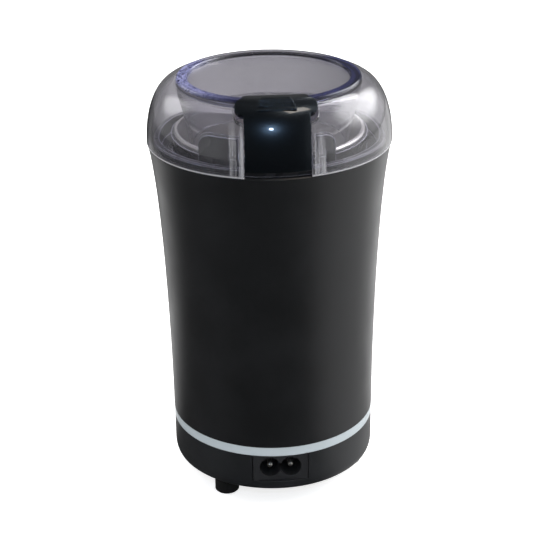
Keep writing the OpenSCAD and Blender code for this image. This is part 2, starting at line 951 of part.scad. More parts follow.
// One curved blade of the fan, rooted in the hub and ending inside the rim of the disc
module fan_blade() {
    bend_x = fan_r * 0.478;
    bend_y = fan_r * 0.39;
    bend_r = fan_r * 0.609;
    intersection() {
        block([fan_hub_r - blade_root, -bend_r, fan_z + blade_lift],
              [fan_r, -cut, fan_z + fan_h - fan_disc_t / 2]);
        translate([bend_x, bend_y, 0])
            ring(bend_r + fan_blade_t / 2, bend_r - fan_blade_t / 2, fan_z - cut, fan_z + fan_h);
    }
}

module cooling_fan() {
    disc_low_z = fan_z + fan_h - fan_disc_t;
    color("#33363a")
        union() {
            rotate_extrude($fn = smooth)
                polygon([
                    [shaft_r + running, fan_z],
                    [fan_hub_r, fan_z],
                    [fan_hub_r, disc_low_z],
                    [fan_r, disc_low_z],
                    [fan_r, fan_z + fan_h],
                    [shaft_r + running, fan_z + fan_h]
                ]);
            for (i = [0 : fan_blades - 1])
                rotate([0, 0, 360 / fan_blades * i])
                    fan_blade();
        }
}

bore_r = armature_r + air_gap;
pole_shoe = 1.6;
yoke = 1.2;
coil_in_r = bore_r + pole_shoe;
coil_out_r = stator_flats / 2 - yoke;
pole_half_angle = 52;
coil_leg_angle = 16;
coil_leg_side = 0.8;
coil_end_side = 0.4;

// Plane sector of a ring, centred on +Y
module sector(outer_r, inner_r, half_angle) {
    intersection() {
        difference() {
            circle(r = outer_r, $fn = smooth);
            circle(r = inner_r, $fn = smooth);
        }
        polygon([
            [0, 0],
            [-lid_r * sin(half_angle), lid_r * cos(half_angle)],
            [0, 2 * lid_r],
            [lid_r * sin(half_angle), lid_r * cos(half_angle)]
        ]);
    }
}

// Round stator sheet with flat sides, a bore and four coil slots
module stator_sheet() {
    difference() {
        intersection() {
            circle(r = stator_r, $fn = smooth);
            square([2 * stator_r + cut, stator_flats], center = true);
        }
        circle(r = bore_r, $fn = smooth);
        for (side = [0, 180])
            for (end = [-1, 1])
                rotate(side + end * (pole_half_angle - coil_leg_angle / 2))
                    sector(coil_out_r, coil_in_r, coil_leg_angle / 2);
        for (side = [-1, 1])
            translate([side * bolt_x, 0])
                circle(r = bolt_r + slip, $fn = fine);
    }
}

module stator_core() {
    color("#77736e")
        translate([0, 0, stack_z])
            linear_extrude(stack_l)
                stator_sheet();
}

// Two coils, each wound round one pole and bulging past both ends of the stack
module field_coils() {
    leg_gap = 2 * seat;
    color("#b5652d")
        for (side = [0, 180])
            rotate([0, 0, side]) {
                for (end = [-1, 1])
                    translate([0, 0, stack_z - cut])
                        linear_extrude(stack_l + 2 * cut)
                            rotate(end * (pole_half_angle - coil_leg_angle / 2))
                                sector(coil_out_r - leg_gap, coil_in_r + leg_gap,
                                       coil_leg_angle / 2 - coil_leg_side);
                for (level = [stack_z - coil_rise, stack_top_z])
                    translate([0, 0, level])
                        linear_extrude(coil_rise)
                            sector(coil_out_r - seat, coil_in_r + seat,
                                   pole_half_angle - coil_end_side);
            }
}

// Bridge over one end of the motor: a plate with a bush boss and two legs
module bracket(plate_low_z, leg_low_z, leg_high_z, boss_low_z, boss_high_z) {
    difference() {
        union() {
            intersection() {
                bar(stator_r, plate_low_z, plate_low_z + bracket_t);
                block([-stator_r, -leg_w, plate_low_z], [stator_r, leg_w, plate_low_z + bracket_t]);
            }
            intersection() {
                bar(stator_r, leg_low_z, leg_high_z);
                for (side = [-1, 1])
                    translate([side * (stator_r - leg_t / 2), 0, (leg_low_z + leg_high_z) / 2])
                        cube([leg_t + 2 * leg_overlap, leg_w, leg_high_z - leg_low_z], center = true);
            }
            bar(bush_r + boss_wall, boss_low_z, boss_high_z);
        }
        bar(bush_r + seat, boss_low_z - cut, boss_high_z + cut);
        bar(bush_r + seat, plate_low_z - cut, plate_low_z + bracket_t + cut);
        for (side = [-1, 1])
            translate([side * bolt_x, 0, 0])
                bar(bolt_r + slip, min(plate_low_z, leg_low_z) - cut,
                    max(plate_low_z + bracket_t, leg_high_z) + cut);
    }
}

module upper_bracket() {
    color("#a7aaad")
        difference() {
            bracket(upper_bracket_z, stack_top_z, upper_bracket_z + cut,
                    upper_bracket_z - boss_rise, upper_bracket_z + bracket_t);
            for (side = [-1, 1])
                translate([side * motor_screw_x, 0, 0])
                    bar(motor_screw_r + thread_gap, upper_bracket_z - cut,
                        upper_bracket_z + bracket_t + cut);
        }
}

module lower_bracket() {
    color("#a7aaad")
        union() {
            bracket(lower_bracket_z, lower_bracket_z + cut, stack_z,
                    lower_bracket_z - boss_rise, lower_bracket_z + bracket_t);
            // Arms that the brush holders stand on
            for (side = [0, 180])
                rotate([0, 0, side])
                    block([-holder_w / 2 - arm_side, leg_w - cut, lower_bracket_z],
                          [holder_w / 2 + arm_side, leg_reach, lower_bracket_z + bracket_t]);
        }
}

bush_flange = 1.6;
bush_flange_t = 1;

// Flanged bush, its flange on the bracket's face
module bush(low_z, high_z, flange_z, flange_up) {
    difference() {
        union() {
            bar(bush_r, low_z, high_z);
            bar(bush_r + bush_flange, flange_up ? flange_z : flange_z - bush_flange_t,
                flange_up ? flange_z + bush_flange_t : flange_z);
        }
        bar(shaft_r + running, low_z - cut, high_z + cut);
    }
}

module upper_bearing() {
    top = upper_bracket_z + bracket_t;
    color("#b08d57")
        bush(top - bush_h, top + bush_flange_t, top, true);
}

module lower_bearing() {
    low = lower_bracket_z - boss_rise;
    color("#b08d57")
        bush(low - bush_flange_t, low + bush_h, low, false);
}

holder_w = 9;
holder_in = 1.6;
holder_wall = 1;
brush_w = 6;
brush_gap = 0.3;
brush_l = 9;
leg_reach = 22.5;
arm_side = 1;

// Brass channels that point the brushes at the commutator
module brush_holders() {
    low_z = lower_bracket_z + bracket_t;
    high_z = commutator_z + commutator_h - holder_wall;
    color("#c9a24b")
        for (side = [0, 180])
            rotate([0, 0, side])
                difference() {
                    block([-holder_w / 2, commutator_r + holder_in, low_z],
                          [holder_w / 2, leg_reach, high_z]);
                    block([-brush_w / 2 - seat, 0, low_z + holder_wall],
                          [brush_w / 2 + seat, leg_reach + cut, high_z - holder_wall]);
                }
}

module carbon_brushes() {
    low_z = lower_bracket_z + bracket_t + holder_wall;
    high_z = commutator_z + commutator_h - 2 * holder_wall;
    color("#2a2a2c")
        for (side = [0, 180])
            rotate([0, 0, side])
                difference() {
                    block([-brush_w / 2, commutator_r - cut, low_z],
                          [brush_w / 2, commutator_r - cut + brush_l, high_z - seat]);
                    bar(commutator_r + brush_gap, low_z - cut, high_z + cut);
                }
}

module motor_bolts() {
    top = upper_bracket_z + bracket_t;
    color("silver")
        for (side = [-1, 1])
            translate([side * bolt_x, 0, 0]) {
                bar(bolt_r, lower_bracket_z - cut, top + bolt_head_t);
                bar(bolt_head_r, lower_bracket_z - bolt_head_t, lower_bracket_z);
                bar(bolt_head_r, top, top + bolt_head_t);
            }
}

motor_head_r = 3.2;
motor_head_t = 1.6;
grommet_top_z = carrier_z - 0.2;

module motor_screws() {
    color("silver")
        for (side = [-1, 1])
            translate([side * motor_screw_x, 0, grommet_top_z])
                rotate([180, 0, 0])
                    pan_screw(motor_screw_r, motor_head_r, motor_head_t,
                              grommet_top_z - upper_bracket_z - cut);
}

// Rubber grommets that the motor hangs on
module motor_grommets() {
    color("#26262a")
        for (side = [-1, 1])
            translate([side * motor_screw_x, 0, 0])
                rotate_extrude($fn = fine)
                    polygon([
                        [motor_screw_r + seat, upper_bracket_z + bracket_t],
                        [grommet_r, upper_bracket_z + bracket_t],
                        [grommet_r, plate_z],
                        [grommet_neck_r, plate_z],
                        [grommet_neck_r, carrier_z - grommet_lip],
                        [grommet_r, carrier_z - grommet_lip],
                        [grommet_r, grommet_top_z],
                        [motor_screw_r + seat, grommet_top_z]
                    ]);
}

// ---- Switch and push rod ----

switch_w = 20;
switch_d = 6.4;
switch_h = 10;
switch_set = 1.2;
switch_back_y = bowl_floor_r - switch_set;
switch_drop = 7;
switch_top_z = plate_z - switch_drop;
switch_screw_x = 4.8;
switch_screw_z = switch_top_z - switch_h + 2.8;
switch_screw_r = 1.1;
switch_head_r = 2;
switch_head_t = 0.8;
ear_t = 0.8;
ear_inset = 0.8;
ear_half = 1.5;
ear_h = 2.4;
switch_mid_y = switch_back_y + switch_d / 2;
terminal_x = 8;
terminal_w = 3.2;
terminal_t = 0.6;
terminal_tip_z = switch_top_z - switch_h - 5;

module switch_body() {
    color("#22252b")
        difference() {
            union() {
                block([-switch_w / 2, -switch_back_y - switch_d, switch_top_z - switch_h],
                      [switch_w / 2, -switch_back_y, switch_top_z]);
                // Ears that carry the lever's pin
                for (y = [-switch_back_y - switch_d + ear_inset, -switch_back_y - ear_inset - ear_t])
                    block([lever_x - ear_half, y, switch_top_z - cut],
                          [lever_x + ear_half, y + ear_t, switch_top_z + ear_h]);
            }
            translate([lever_x, -switch_back_y + cut, lever_pin_z])
                rotate([90, 0, 0])
                    cylinder(h = switch_d + 2 * cut, r = lever_pin_r + running, $fn = fine);
            for (side = [-1, 1])
                translate([side * switch_screw_x, -switch_back_y + cut, switch_screw_z])
                    rotate([90, 0, 0])
                        cylinder(h = switch_d + 2 * cut, r = switch_screw_r + seat, $fn = fine);
        }
}

module switch_terminals() {
    color("#c9a24b")
        for (x = [-terminal_x, 0, terminal_x])
            block([x - terminal_w / 2, -switch_mid_y - terminal_t / 2, terminal_tip_z],
                  [x + terminal_w / 2, -switch_mid_y + terminal_t / 2, switch_top_z - switch_h]);
}

module switch_screws() {
    color("silver")
        for (side = [-1, 1])
            translate([side * switch_screw_x, -switch_back_y - switch_d, switch_screw_z])
                rotate([-90, 0, 0])
                    pan_screw(switch_screw_r, switch_head_r, switch_head_t, switch_d + switch_tab_t);
}

lever_x = -8;
lever_t = 0.5;
lever_z = switch_top_z + 4;
lever_end_x = 2.2;
lever_w = 2.8;
lever_heel = 0.8;
lever_foot_gap = 0.4;
lever_pin_r = 0.5;
lever_pin_z = switch_top_z + 1.4;

// Steel lever of the switch, hinged at its left end
module switch_lever() {
    color("#c3c5c7")
        union() {
            block([lever_x - lever_heel, -switch_mid_y - lever_w / 2, lever_z - lever_t],
                  [lever_end_x, -switch_mid_y + lever_w / 2, lever_z]);
            block([lever_x - lever_heel, -switch_mid_y - lever_w / 2, switch_top_z + lever_foot_gap],
                  [lever_x + lever_heel, -switch_mid_y + lever_w / 2, lever_z]);
            translate([lever_x, -switch_mid_y, lever_pin_z])
                rotate([90, 0, 0])
                    cylinder(h = switch_d - 2 * ear_inset, r = lever_pin_r, center = true, $fn = fine);
        }
}

rod_proud = 3.2;
rod_tip_z = deck_z + tower_low_h + rod_proud;
rod_foot_gap = 0.2;
rod_foot_z = lever_z + rod_foot_gap;
rod_foot_t = 1.4;
rod_collar_z = plate_z + 19;
rod_collar_r = 2.2;
rod_collar_t = 1.4;
rod_seat_h = 5;

module push_rod() {
    color("#e2e0d8")
        union() {
            translate([0, -rod_y, 0]) {
                domed_bar(rod_r, rod_foot_z, rod_tip_z);
                bar(rod_collar_r, rod_collar_z, rod_collar_z + rod_collar_t);
            }
            block([-rod_r, -rod_y, rod_foot_z],
                  [rod_r, -switch_mid_y + lever_w / 2, rod_foot_z + rod_foot_t]);
        }
}

rod_spring_wire = 0.25;
rod_spring_turns = 9;

module rod_spring() {
    color("silver")
        translate([0, -rod_y, 0])
            spring(rod_r + slip + rod_spring_wire - running, rod_spring_wire,
                   plate_z + rod_seat_h, rod_collar_z, rod_spring_turns);
}

// ---- Wiring ----

capacitor_size = [13, 6, 11];
capacitor_gap = 3;

module capacitor() {
    color("#c8b648")
        translate([-capacitor_size[0] / 2, fan_r + capacitor_gap, base_z + base_plate_t])
            cube(capacitor_size);
}

wire_r = 0.9;
sleeve_wall = 0.9;
sleeve_grip = 4;
sleeve_tail = 2.4;
wire_root = 1.2;
wire_lead = 4.5;

// Insulated push-on terminal round a flat tab whose tip is at z = 0 and points down
module push_on(width, thickness) {
    difference() {
        block([-width / 2 - sleeve_wall, -thickness / 2 - sleeve_wall, -sleeve_tail],
              [width / 2 + sleeve_wall, thickness / 2 + sleeve_wall, sleeve_grip]);
        block([-width / 2 - seat, -thickness / 2 - seat, -seat],
              [width / 2 + seat, thickness / 2 + seat, sleeve_grip + cut]);
    }
}

// Push-on terminal on the tab of one inlet pin
module inlet_push_on(x) {
    translate([x, tab_tip_y, inlet_mid_z])
        rotate([90, 0, 0])
            rotate([0, 0, 90])
                push_on(tab_w, tab_t);
}

// Push-on terminal on one tab of the switch
module switch_push_on(x) {
    translate([x, -switch_mid_y, terminal_tip_z])
        push_on(terminal_w, terminal_t);
}

coil_face_r = coil_out_r + wire_r;
coil_low_z = stack_z - coil_rise + 1;
coil_lead = 3;

// Wire from the left inlet pin up to the switch
module live_wire() {
    x = -pin_pitch / 2;
    side_x = -14;
    color("#7a4a2c") {
        inlet_push_on(x);
        switch_push_on(-terminal_x);
        wire([[x, tab_tip_y + wire_root, inlet_mid_z],
              [x, tab_tip_y + wire_lead, inlet_mid_z],
              [-inlet_w / 2, tab_tip_y + wire_lead - 1, inlet_mid_z + 4],
              [side_x, -switch_back_y, housing_z + 2],
              [side_x, -switch_mid_y, terminal_tip_z - 10],
              [-terminal_x, -switch_mid_y, terminal_tip_z - wire_lead],
              [-terminal_x, -switch_mid_y, terminal_tip_z - wire_root]], wire_r);
    }
}

// Wire from the right inlet pin round the motor to the rear coil
module neutral_wire() {
    x = pin_pitch / 2;
    side_x = 31;
    angle = 40;
    color("#34566f") {
        inlet_push_on(x);
        wire([[x, tab_tip_y + wire_root, inlet_mid_z],
              [x, tab_tip_y + wire_lead, inlet_mid_z],
              [side_x, -11, housing_z + 1],
              [side_x, 8, lower_bracket_z],
              [24, 17, coil_low_z - 5],
              [coil_face_r * sin(angle), coil_face_r * cos(angle), coil_low_z],
              [coil_face_r * sin(angle), coil_face_r * cos(angle), coil_low_z + coil_lead]], wire_r);
    }
}

// Wire from the switch down to the front coil
module motor_wire() {
    angle = 16;
    color("#b9b4a8") {
        switch_push_on(terminal_x);
        wire([[terminal_x, -switch_mid_y, terminal_tip_z - wire_root],
              [terminal_x, -switch_mid_y, terminal_tip_z - wire_lead],
              [12, -switch_mid_y, terminal_tip_z - 9],
              [12, -switch_back_y, stack_z + 4],
              [coil_face_r * sin(angle) + 3, -coil_face_r * cos(angle) - 4, coil_low_z + 4],
              [coil_face_r * sin(angle), -coil_face_r * cos(angle), coil_low_z + coil_lead],
              [coil_face_r * sin(angle), -coil_face_r * cos(angle), coil_low_z]], wire_r);
    }
}

// ---- Lid ----

crown_r = ring_r - 1;
dome_steps = 20;
dome_power_r = 0.93;
dome_power_z = 0.92;

// Side of the dome from the rim to the raised ring, moved in by a distance
function dome_line(inset) = [
    for (i = [0 : dome_steps])
        let (t = 90 * i / dome_steps)
        [ring_r + (lid_r - inset - ring_r) * (i == dome_steps ? 0 : pow(cos(t), dome_power_r)),
         joint_z + (dome_h - inset) * (i == 0 ? 0 : pow(sin(t), dome_power_z))]
];

skirt_wall = 1.6;
skirt_set = 0.6;
skirt_top_r = ring_r - skirt_set;
skirt_chamfer = 0.3;
skirt_foot_z = rim_z - skirt_dip;
notch_half = button_w / 2 + slip;
pocket_z = disc_z - disc_t;
pocket_floor_t = 1.5;
pocket_back_y = ring_inner_r - slip;
rail_t = 2.4;
rail_foot_z = joint_z + spigot_h + 2 * slip;
rail_set = 6.2;
rail_back_y = ring_r + rail_set;
rail_rise = 19.5;
rail_top_z = joint_z + rail_rise;
ear_room = 1.4;
ear_wall_t = 1.2;
ear_wall_x = notch_half + rail_t + ear_room;
ear_floor_rise = 6.5;
ear_floor_z = joint_z + ear_floor_rise;
shelf_rise = 9.5;
shelf_z = joint_z + shelf_rise;
shelf_t = 1.5;
shelf_half = tower_low_half - slip;
leg_x = 6.5;
leg_set = 1.3;
leg_y = rod_y - leg_set;
leg_r = 1.4;
barb_r = 2.1;
barb_h = 1.6;
barb_tip_r = 1.2;
shelf_front = 2.6;
shelf_back = 2;
ear_r = 4.2;
ear_x = ear_span / 2 - ear_r;
ear_set = 1.6;
ear_y = ring_r + ear_set;
ear_drop = 2.7;
ear_z = crest_z - ear_drop;
ear_tilt = 35;
ear_depth = 6.4;
slot_extra = 2;
tray_wall = 1.5;
tray_in = 0.6;
tray_back = 1.5;
ring_chamfer = 0.4;

// Dome, raised ring and sunk top disc
module dome() {
    rotate_extrude($fn = smooth)
        polygon(concat(
            dome_line(0),
            [[ring_r, ring_top_z - ring_chamfer], [ring_r - ring_chamfer, ring_top_z]],
            [[ring_inner_r + ring_chamfer, ring_top_z], [ring_inner_r, ring_top_z - ring_chamfer]],
            [[ring_inner_r, disc_z], [0, disc_z], [0, disc_z - disc_t]],
            [[crown_r, disc_z - disc_t]],
            reversed(dome_line(lid_wall))
        ));
}

// Tapered wall that hangs into the bowl
module skirt() {
    rotate_extrude($fn = smooth)
        polygon([
            [skirt_foot_r - skirt_wall, skirt_foot_z],
            [skirt_foot_r - skirt_chamfer, skirt_foot_z],
            [skirt_foot_r, skirt_foot_z + skirt_chamfer],
            [skirt_top_r, pocket_z + embed],
            [skirt_top_r - skirt_wall, pocket_z + embed]
        ]);
}

// Space inside the lid, moved in to the middle of its wall
module dome_inside() {
    rotate_extrude($fn = smooth)
        polygon(concat([[0, joint_z]], dome_line(lid_wall / 2), [[0, joint_z + dome_h - lid_wall / 2]]));
}

// Places its children on the axis of each ear, square to the shoulder of the dome
module at_ears() {
    for (side = [-1, 1])
        translate([side * ear_x, -ear_y, ear_z])
            rotate([ear_tilt, 0, 0])
                children();
}

// Room for the ears, drawn out downwards by their travel
module ear_slots() {
    room = ear_r + slip;
    drop = button_travel + slip;
    at_ears()
        linear_extrude(ear_depth + slot_extra, center = true)
            union() {
                circle(r = room, $fn = fine);
                translate([0, -drop])
                    circle(r = room, $fn = fine);
                translate([-room, -drop])
                    square([2 * room, drop]);
            }
}

module lid() {
    color("#cfd0e4", 0.35)
        difference() {
            union() {
                difference() {
                    dome();
                    // Notch that the button closes, wider where its ears are
                    block([-notch_half, -lid_r - cut, joint_z - cut],
                          [notch_half, -pocket_back_y, crest_z + cut]);
                    ear_slots();
                }
                difference() {
                    union() {
                        skirt();
                        // Tray under the button's tongue
                        block([-notch_half - tray_wall, -skirt_top_r + tray_in, pocket_z - pocket_floor_t],
                              [notch_half + tray_wall, -pocket_back_y + tray_back, disc_z - slip]);
                    }
                    block([-notch_half, -lid_r, pocket_z],
                          [notch_half, -pocket_back_y, crest_z]);
                    ear_slots();
                }
                intersection() {
                    dome_inside();
                    union() {
                        // Guide wall each side of the button with a pocket under its ear
                        difference() {
                            for (side = [0, 1])
                                mirror([side, 0, 0]) {
                                    block([notch_half, -lid_r, rail_foot_z],
                                          [notch_half + rail_t, -rail_back_y, rail_top_z]);
                                    block([ear_wall_x, -lid_r, ear_floor_z],
                                          [ear_wall_x + ear_wall_t, -rail_back_y, rail_top_z]);
                                    block([notch_half + rail_t / 2, -lid_r, ear_floor_z],
                                          [ear_wall_x + ear_wall_t / 2, -rail_back_y,
                                           ear_floor_z + ear_wall_t]);
                                }
                            ear_slots();
                        }
                        // Shelf that the button's legs run through
                        block([-shelf_half, -leg_y - shelf_front, shelf_z],
                              [shelf_half, -skirt_top_r + shelf_back, shelf_z + shelf_t]);
                    }
                }
            }
            block([-notch_half, -skirt_top_r - shelf_back, pocket_z],
                  [notch_half, -pocket_back_y, crest_z + cut]);
            for (side = [-1, 1])
                translate([side * leg_x, -leg_y, 0])
                    bar(leg_r + slip, shelf_z - cut, shelf_z + shelf_t + cut);
            block([-presser_half - slip, -rod_y - presser_d / 2 - slip, shelf_z - cut],
                  [presser_half + slip, -rod_y + presser_d / 2 + slip, shelf_z + shelf_t + cut]);
        }
}

// ---- Button ----

presser_half = 2.4;
presser_d = 2.4;
tongue_corner = 2;
leg_collar_rise = 20;
leg_collar_z = joint_z + leg_collar_rise;
leg_collar_t = 1.2;
leg_collar_r = 2.3;
rib_r = 0.5;
rib_pitch = 1.5;
rib_proud = 0.3;
rib_start = 0.5;
rib_min_l = 11;

// Side of the button, flush with the dome below and rising to a crown over the ring
function button_line(inset) = [
    for (i = [0 : dome_steps])
        let (t = 90 * i / dome_steps,
             z = joint_z + (crest_z - joint_z - inset) * (i == 0 ? 0 : pow(sin(t), dome_power_z)))
        if (z > joint_z + button_lift)
            [crown_r + (lid_r - inset - crown_r) * (i == dome_steps ? 0 : pow(cos(t), dome_power_r)), z]
];

// Height of the crown's surface at a distance from the axis, moved in by a distance
function crown_z(r, inset) =
    let (c = pow(max(0, r - crown_r) / (lid_r - inset - crown_r), 1 / dome_power_r))
    joint_z + (crest_z - joint_z - inset) * pow(sqrt(1 - c * c), dome_power_z);

// Curved section of the button, turned round the grinder's axis
module button_wall_ring() {
    rotate_extrude($fn = smooth)
        polygon(concat(
            [[button_line(0)[0][0], joint_z + button_lift]],
            button_line(0),
            [[ring_inner_r - tongue_corner, crest_z]],
            [[ring_inner_r - tongue_corner, crest_z - button_wall]],
            reversed(button_line(button_wall)),
            [[button_line(button_wall)[0][0], joint_z + button_lift]]
        ));
}

// Outline of the button seen from above, its far corners rounded
module button_outline() {
    translate([-button_w / 2, -lid_r - cut])
        square([button_w, lid_r + cut - ring_inner_r - tongue_corner]);
    translate([-button_w / 2 + tongue_corner, -lid_r - cut])
        square([button_w - 2 * tongue_corner, lid_r + cut - ring_inner_r]);
    for (side = [-1, 1])
        translate([side * (button_w / 2 - tongue_corner), -ring_inner_r - tongue_corner])
            circle(r = tongue_corner, $fn = fine);
}

module push_button() {
    color("#0c0d0f")
        union() {
            intersection() {
                button_wall_ring();
                union() {
                    translate([0, 0, joint_z])
                        linear_extrude(crest_z - joint_z + cut)
                            button_outline();
                    at_ears()
                        cylinder(h = ear_depth, r = ear_r, center = true, $fn = fine);
                }
            }
            // Legs with barbs under the shelf and collars over the springs
            for (side = [-1, 1])
                translate([side * leg_x, -leg_y, 0]) {
                    bar(leg_r, shelf_z - slip - barb_h,
                        crown_z(norm([leg_x, leg_y]), button_wall) + embed);
                    bar(leg_collar_r, leg_collar_z, leg_collar_z + leg_collar_t);
                    translate([0, 0, shelf_z - slip - barb_h])
                        cylinder(h = barb_h, r1 = barb_tip_r, r2 = barb_r, $fn = fine);
                }
            // Presser for the push rod
            block([-presser_half, -rod_y - presser_d / 2, rod_tip_z + seat],
                  [presser_half, -rod_y + presser_d / 2, crown_z(rod_y, button_wall) + embed]);
            // Grip ribs on the crown, wider towards the front
            for (i = [0 : grip_ribs - 1])
                let (y = crown_r + rib_start + i * rib_pitch)
                translate([0, -y, crown_z(y, 0) - rib_r + rib_proud])
                    rotate([0, 90, 0])
                        cylinder(h = rib_min_l + i, r = rib_r, center = true, $fn = thin);
        }
}

button_spring_wire = 0.25;
button_spring_turns = 4;

module button_springs() {
    color("silver")
        for (side = [-1, 1])
            translate([side * leg_x, -leg_y, 0])
                spring(leg_r + slip + button_spring_wire, button_spring_wire,
                       shelf_z + shelf_t, leg_collar_z, button_spring_turns);
}

outer_housing();
accent_ring();
base_cover();
rubber_feet();
base_screws();
inlet_housing();
inlet_pins();
bowl_holder();
bowl();
bowl_gasket();
shaft_seal();
blade();
blade_hub();
blade_nut();
motor_shaft();
armature_core();
armature_windings();
commutator();
cooling_fan();
stator_core();
field_coils();
upper_bracket();
lower_bracket();
upper_bearing();
lower_bearing();
brush_holders();
carbon_brushes();
motor_bolts();
motor_screws();
motor_grommets();
switch_body();
switch_terminals();
switch_screws();
switch_lever();
push_rod();
rod_spring();
capacitor();
live_wire();
neutral_wire();
motor_wire();
lid();
push_button();
button_springs();
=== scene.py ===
import json
import math

import bmesh
import bpy
from mathutils import Matrix, Vector


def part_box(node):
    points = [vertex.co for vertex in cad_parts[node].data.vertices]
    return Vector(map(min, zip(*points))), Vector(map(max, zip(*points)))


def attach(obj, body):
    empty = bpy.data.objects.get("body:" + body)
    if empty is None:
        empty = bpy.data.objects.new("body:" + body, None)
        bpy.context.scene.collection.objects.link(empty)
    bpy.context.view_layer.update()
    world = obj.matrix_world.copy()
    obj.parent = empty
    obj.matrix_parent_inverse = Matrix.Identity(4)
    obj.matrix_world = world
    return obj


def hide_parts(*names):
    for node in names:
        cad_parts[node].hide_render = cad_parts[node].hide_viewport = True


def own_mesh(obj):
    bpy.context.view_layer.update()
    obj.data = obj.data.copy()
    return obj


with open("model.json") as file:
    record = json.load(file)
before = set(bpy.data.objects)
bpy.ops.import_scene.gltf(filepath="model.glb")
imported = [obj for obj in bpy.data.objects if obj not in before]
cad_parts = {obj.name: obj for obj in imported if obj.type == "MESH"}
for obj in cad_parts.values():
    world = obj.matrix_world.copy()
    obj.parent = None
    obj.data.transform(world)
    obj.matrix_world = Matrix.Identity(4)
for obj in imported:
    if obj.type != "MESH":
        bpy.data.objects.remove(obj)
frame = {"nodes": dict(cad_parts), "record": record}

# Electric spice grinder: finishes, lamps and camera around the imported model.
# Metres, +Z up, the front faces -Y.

scene = bpy.context.scene
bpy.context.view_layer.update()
MM = 0.001

# ---- Camera ----
# A long lens on a square frame, half a metre in front of the grinder and a little to
# its left, above the lid and tipped down at the whole grinder.

IMAGE_SIDE = 540
FOCAL_PIXELS = 1460.8
SENSOR_WIDTH = 36
CAMERA_DISTANCE = 564.9 * MM
CAMERA_HEIGHT = 341.6 * MM
CAMERA_SIDE = math.radians(3.9)
CAMERA_YAW = math.radians(-0.05)
CAMERA_PITCH = math.radians(23.94)
CAMERA_ROLL = math.radians(-0.77)

heading = CAMERA_SIDE + CAMERA_YAW
forward = Vector((math.sin(heading) * math.cos(CAMERA_PITCH),
                  math.cos(heading) * math.cos(CAMERA_PITCH),
                  -math.sin(CAMERA_PITCH)))
right = forward.cross(Vector((0, 0, 1))).normalized()
right = Matrix.Rotation(-CAMERA_ROLL, 3, forward) @ right
up = right.cross(forward)
lens = bpy.data.cameras.new("camera")
lens.sensor_width = SENSOR_WIDTH
lens.lens = FOCAL_PIXELS / IMAGE_SIDE * SENSOR_WIDTH
lens.clip_start = 10 * MM
camera = bpy.data.objects.new("camera", lens)
camera_place = Vector((-CAMERA_DISTANCE * math.sin(CAMERA_SIDE),
                       -CAMERA_DISTANCE * math.cos(CAMERA_SIDE),
                       CAMERA_HEIGHT))
camera_turn = Matrix((right, up, -forward)).transposed().to_4x4()
camera.matrix_world = Matrix.Translation(camera_place) @ camera_turn
scene.collection.objects.link(camera)
scene.camera = camera
scene.view_settings.view_transform = "Standard"

# ---- Floor, background and lamps ----
# White paper under the grinder. Soft boxes stand at its right and behind its left, a
# small panel behind its right, skylight and fill overhead, and a flash is over the lens.

WHITE = (1, 1, 1, 1)


def linear(hex_colour):
    """The linear colour of an sRGB hex value, with an alpha of 1."""
    parts = [int(hex_colour[i:i + 2], 16) / 255 for i in (1, 3, 5)]
    return [p / 12.92 if p <= 0.04045 else ((p + 0.055) / 1.055) ** 2.4 for p in parts] + [1]


def add(tree, kind, inputs=(), **settings):
    """Adds a node, sets its own settings, then gives each input its value or links it."""
    node = tree.nodes.new(kind)
    for name, value in settings.items():
        setattr(node, name, value)
    for socket, value in dict(inputs).items():
        source = value.outputs[0] if isinstance(value, bpy.types.Node) else value
        if isinstance(source, bpy.types.NodeSocket):
            tree.links.new(source, node.inputs[socket])
        else:
            node.inputs[socket].default_value = source
    return node


def cleared(owner):
    """The emptied node tree of a material, world or lamp."""
    owner.use_nodes = True
    owner.node_tree.nodes.clear()
    return owner.node_tree


FRONT_LEVEL = 0.02
BACK_FROM, BACK_TO = 0.2, 0.95
STRAIGHT_FROM, STRAIGHT_TO = 0.8, 0.95


def room(tree, direction, back, right, left, sides=(0.4, 0.9), straight_back=1.0):
    """Brightness that polished faces or clear plastic see in a direction: dim towards the front."""
    split = add(tree, "ShaderNodeSeparateXYZ", {0: direction}).outputs
    total = add(tree, "ShaderNodeMapRange",
                {"Value": split["Y"], "From Min": BACK_FROM, "From Max": BACK_TO,
                 "To Min": 0, "To Max": back}, interpolation_type="SMOOTHSTEP")
    for turned_to, level in ((1, right), (-1, left)):
        side = add(tree, "ShaderNodeMapRange",
                   {"Value": split["X"], "From Min": turned_to * sides[0],
                    "From Max": turned_to * sides[1], "To Min": 0, "To Max": level},
                   interpolation_type="SMOOTHSTEP")
        total = add(tree, "ShaderNodeMath", {0: total, 1: side}, operation="ADD")
    behind = add(tree, "ShaderNodeMapRange",
                 {"Value": split["Y"], "From Min": STRAIGHT_FROM, "From Max": STRAIGHT_TO,
                  "To Min": 1, "To Max": straight_back}, interpolation_type="SMOOTHSTEP")
    total = add(tree, "ShaderNodeMath", {0: total, 1: behind}, operation="MULTIPLY")
    return add(tree, "ShaderNodeMath", {0: total, 1: FRONT_LEVEL}, operation="MAXIMUM")


PAPER_WHITE = "#f2f2f2"
PAPER_GLOW = 0.75
PAPER_REACH = 1.2
PAPER_SIDES = 96
SHADE_FROM, SHADE_TO = -0.3, 0.3
SHADE_LEFT, SHADE_RIGHT = -0.85, -0.4
SHEEN_FROM, SHEEN_TO, SHEEN = 0.7, 0.97, 1.4
FAR_FROM, FAR_TO = 0.32, 0.55

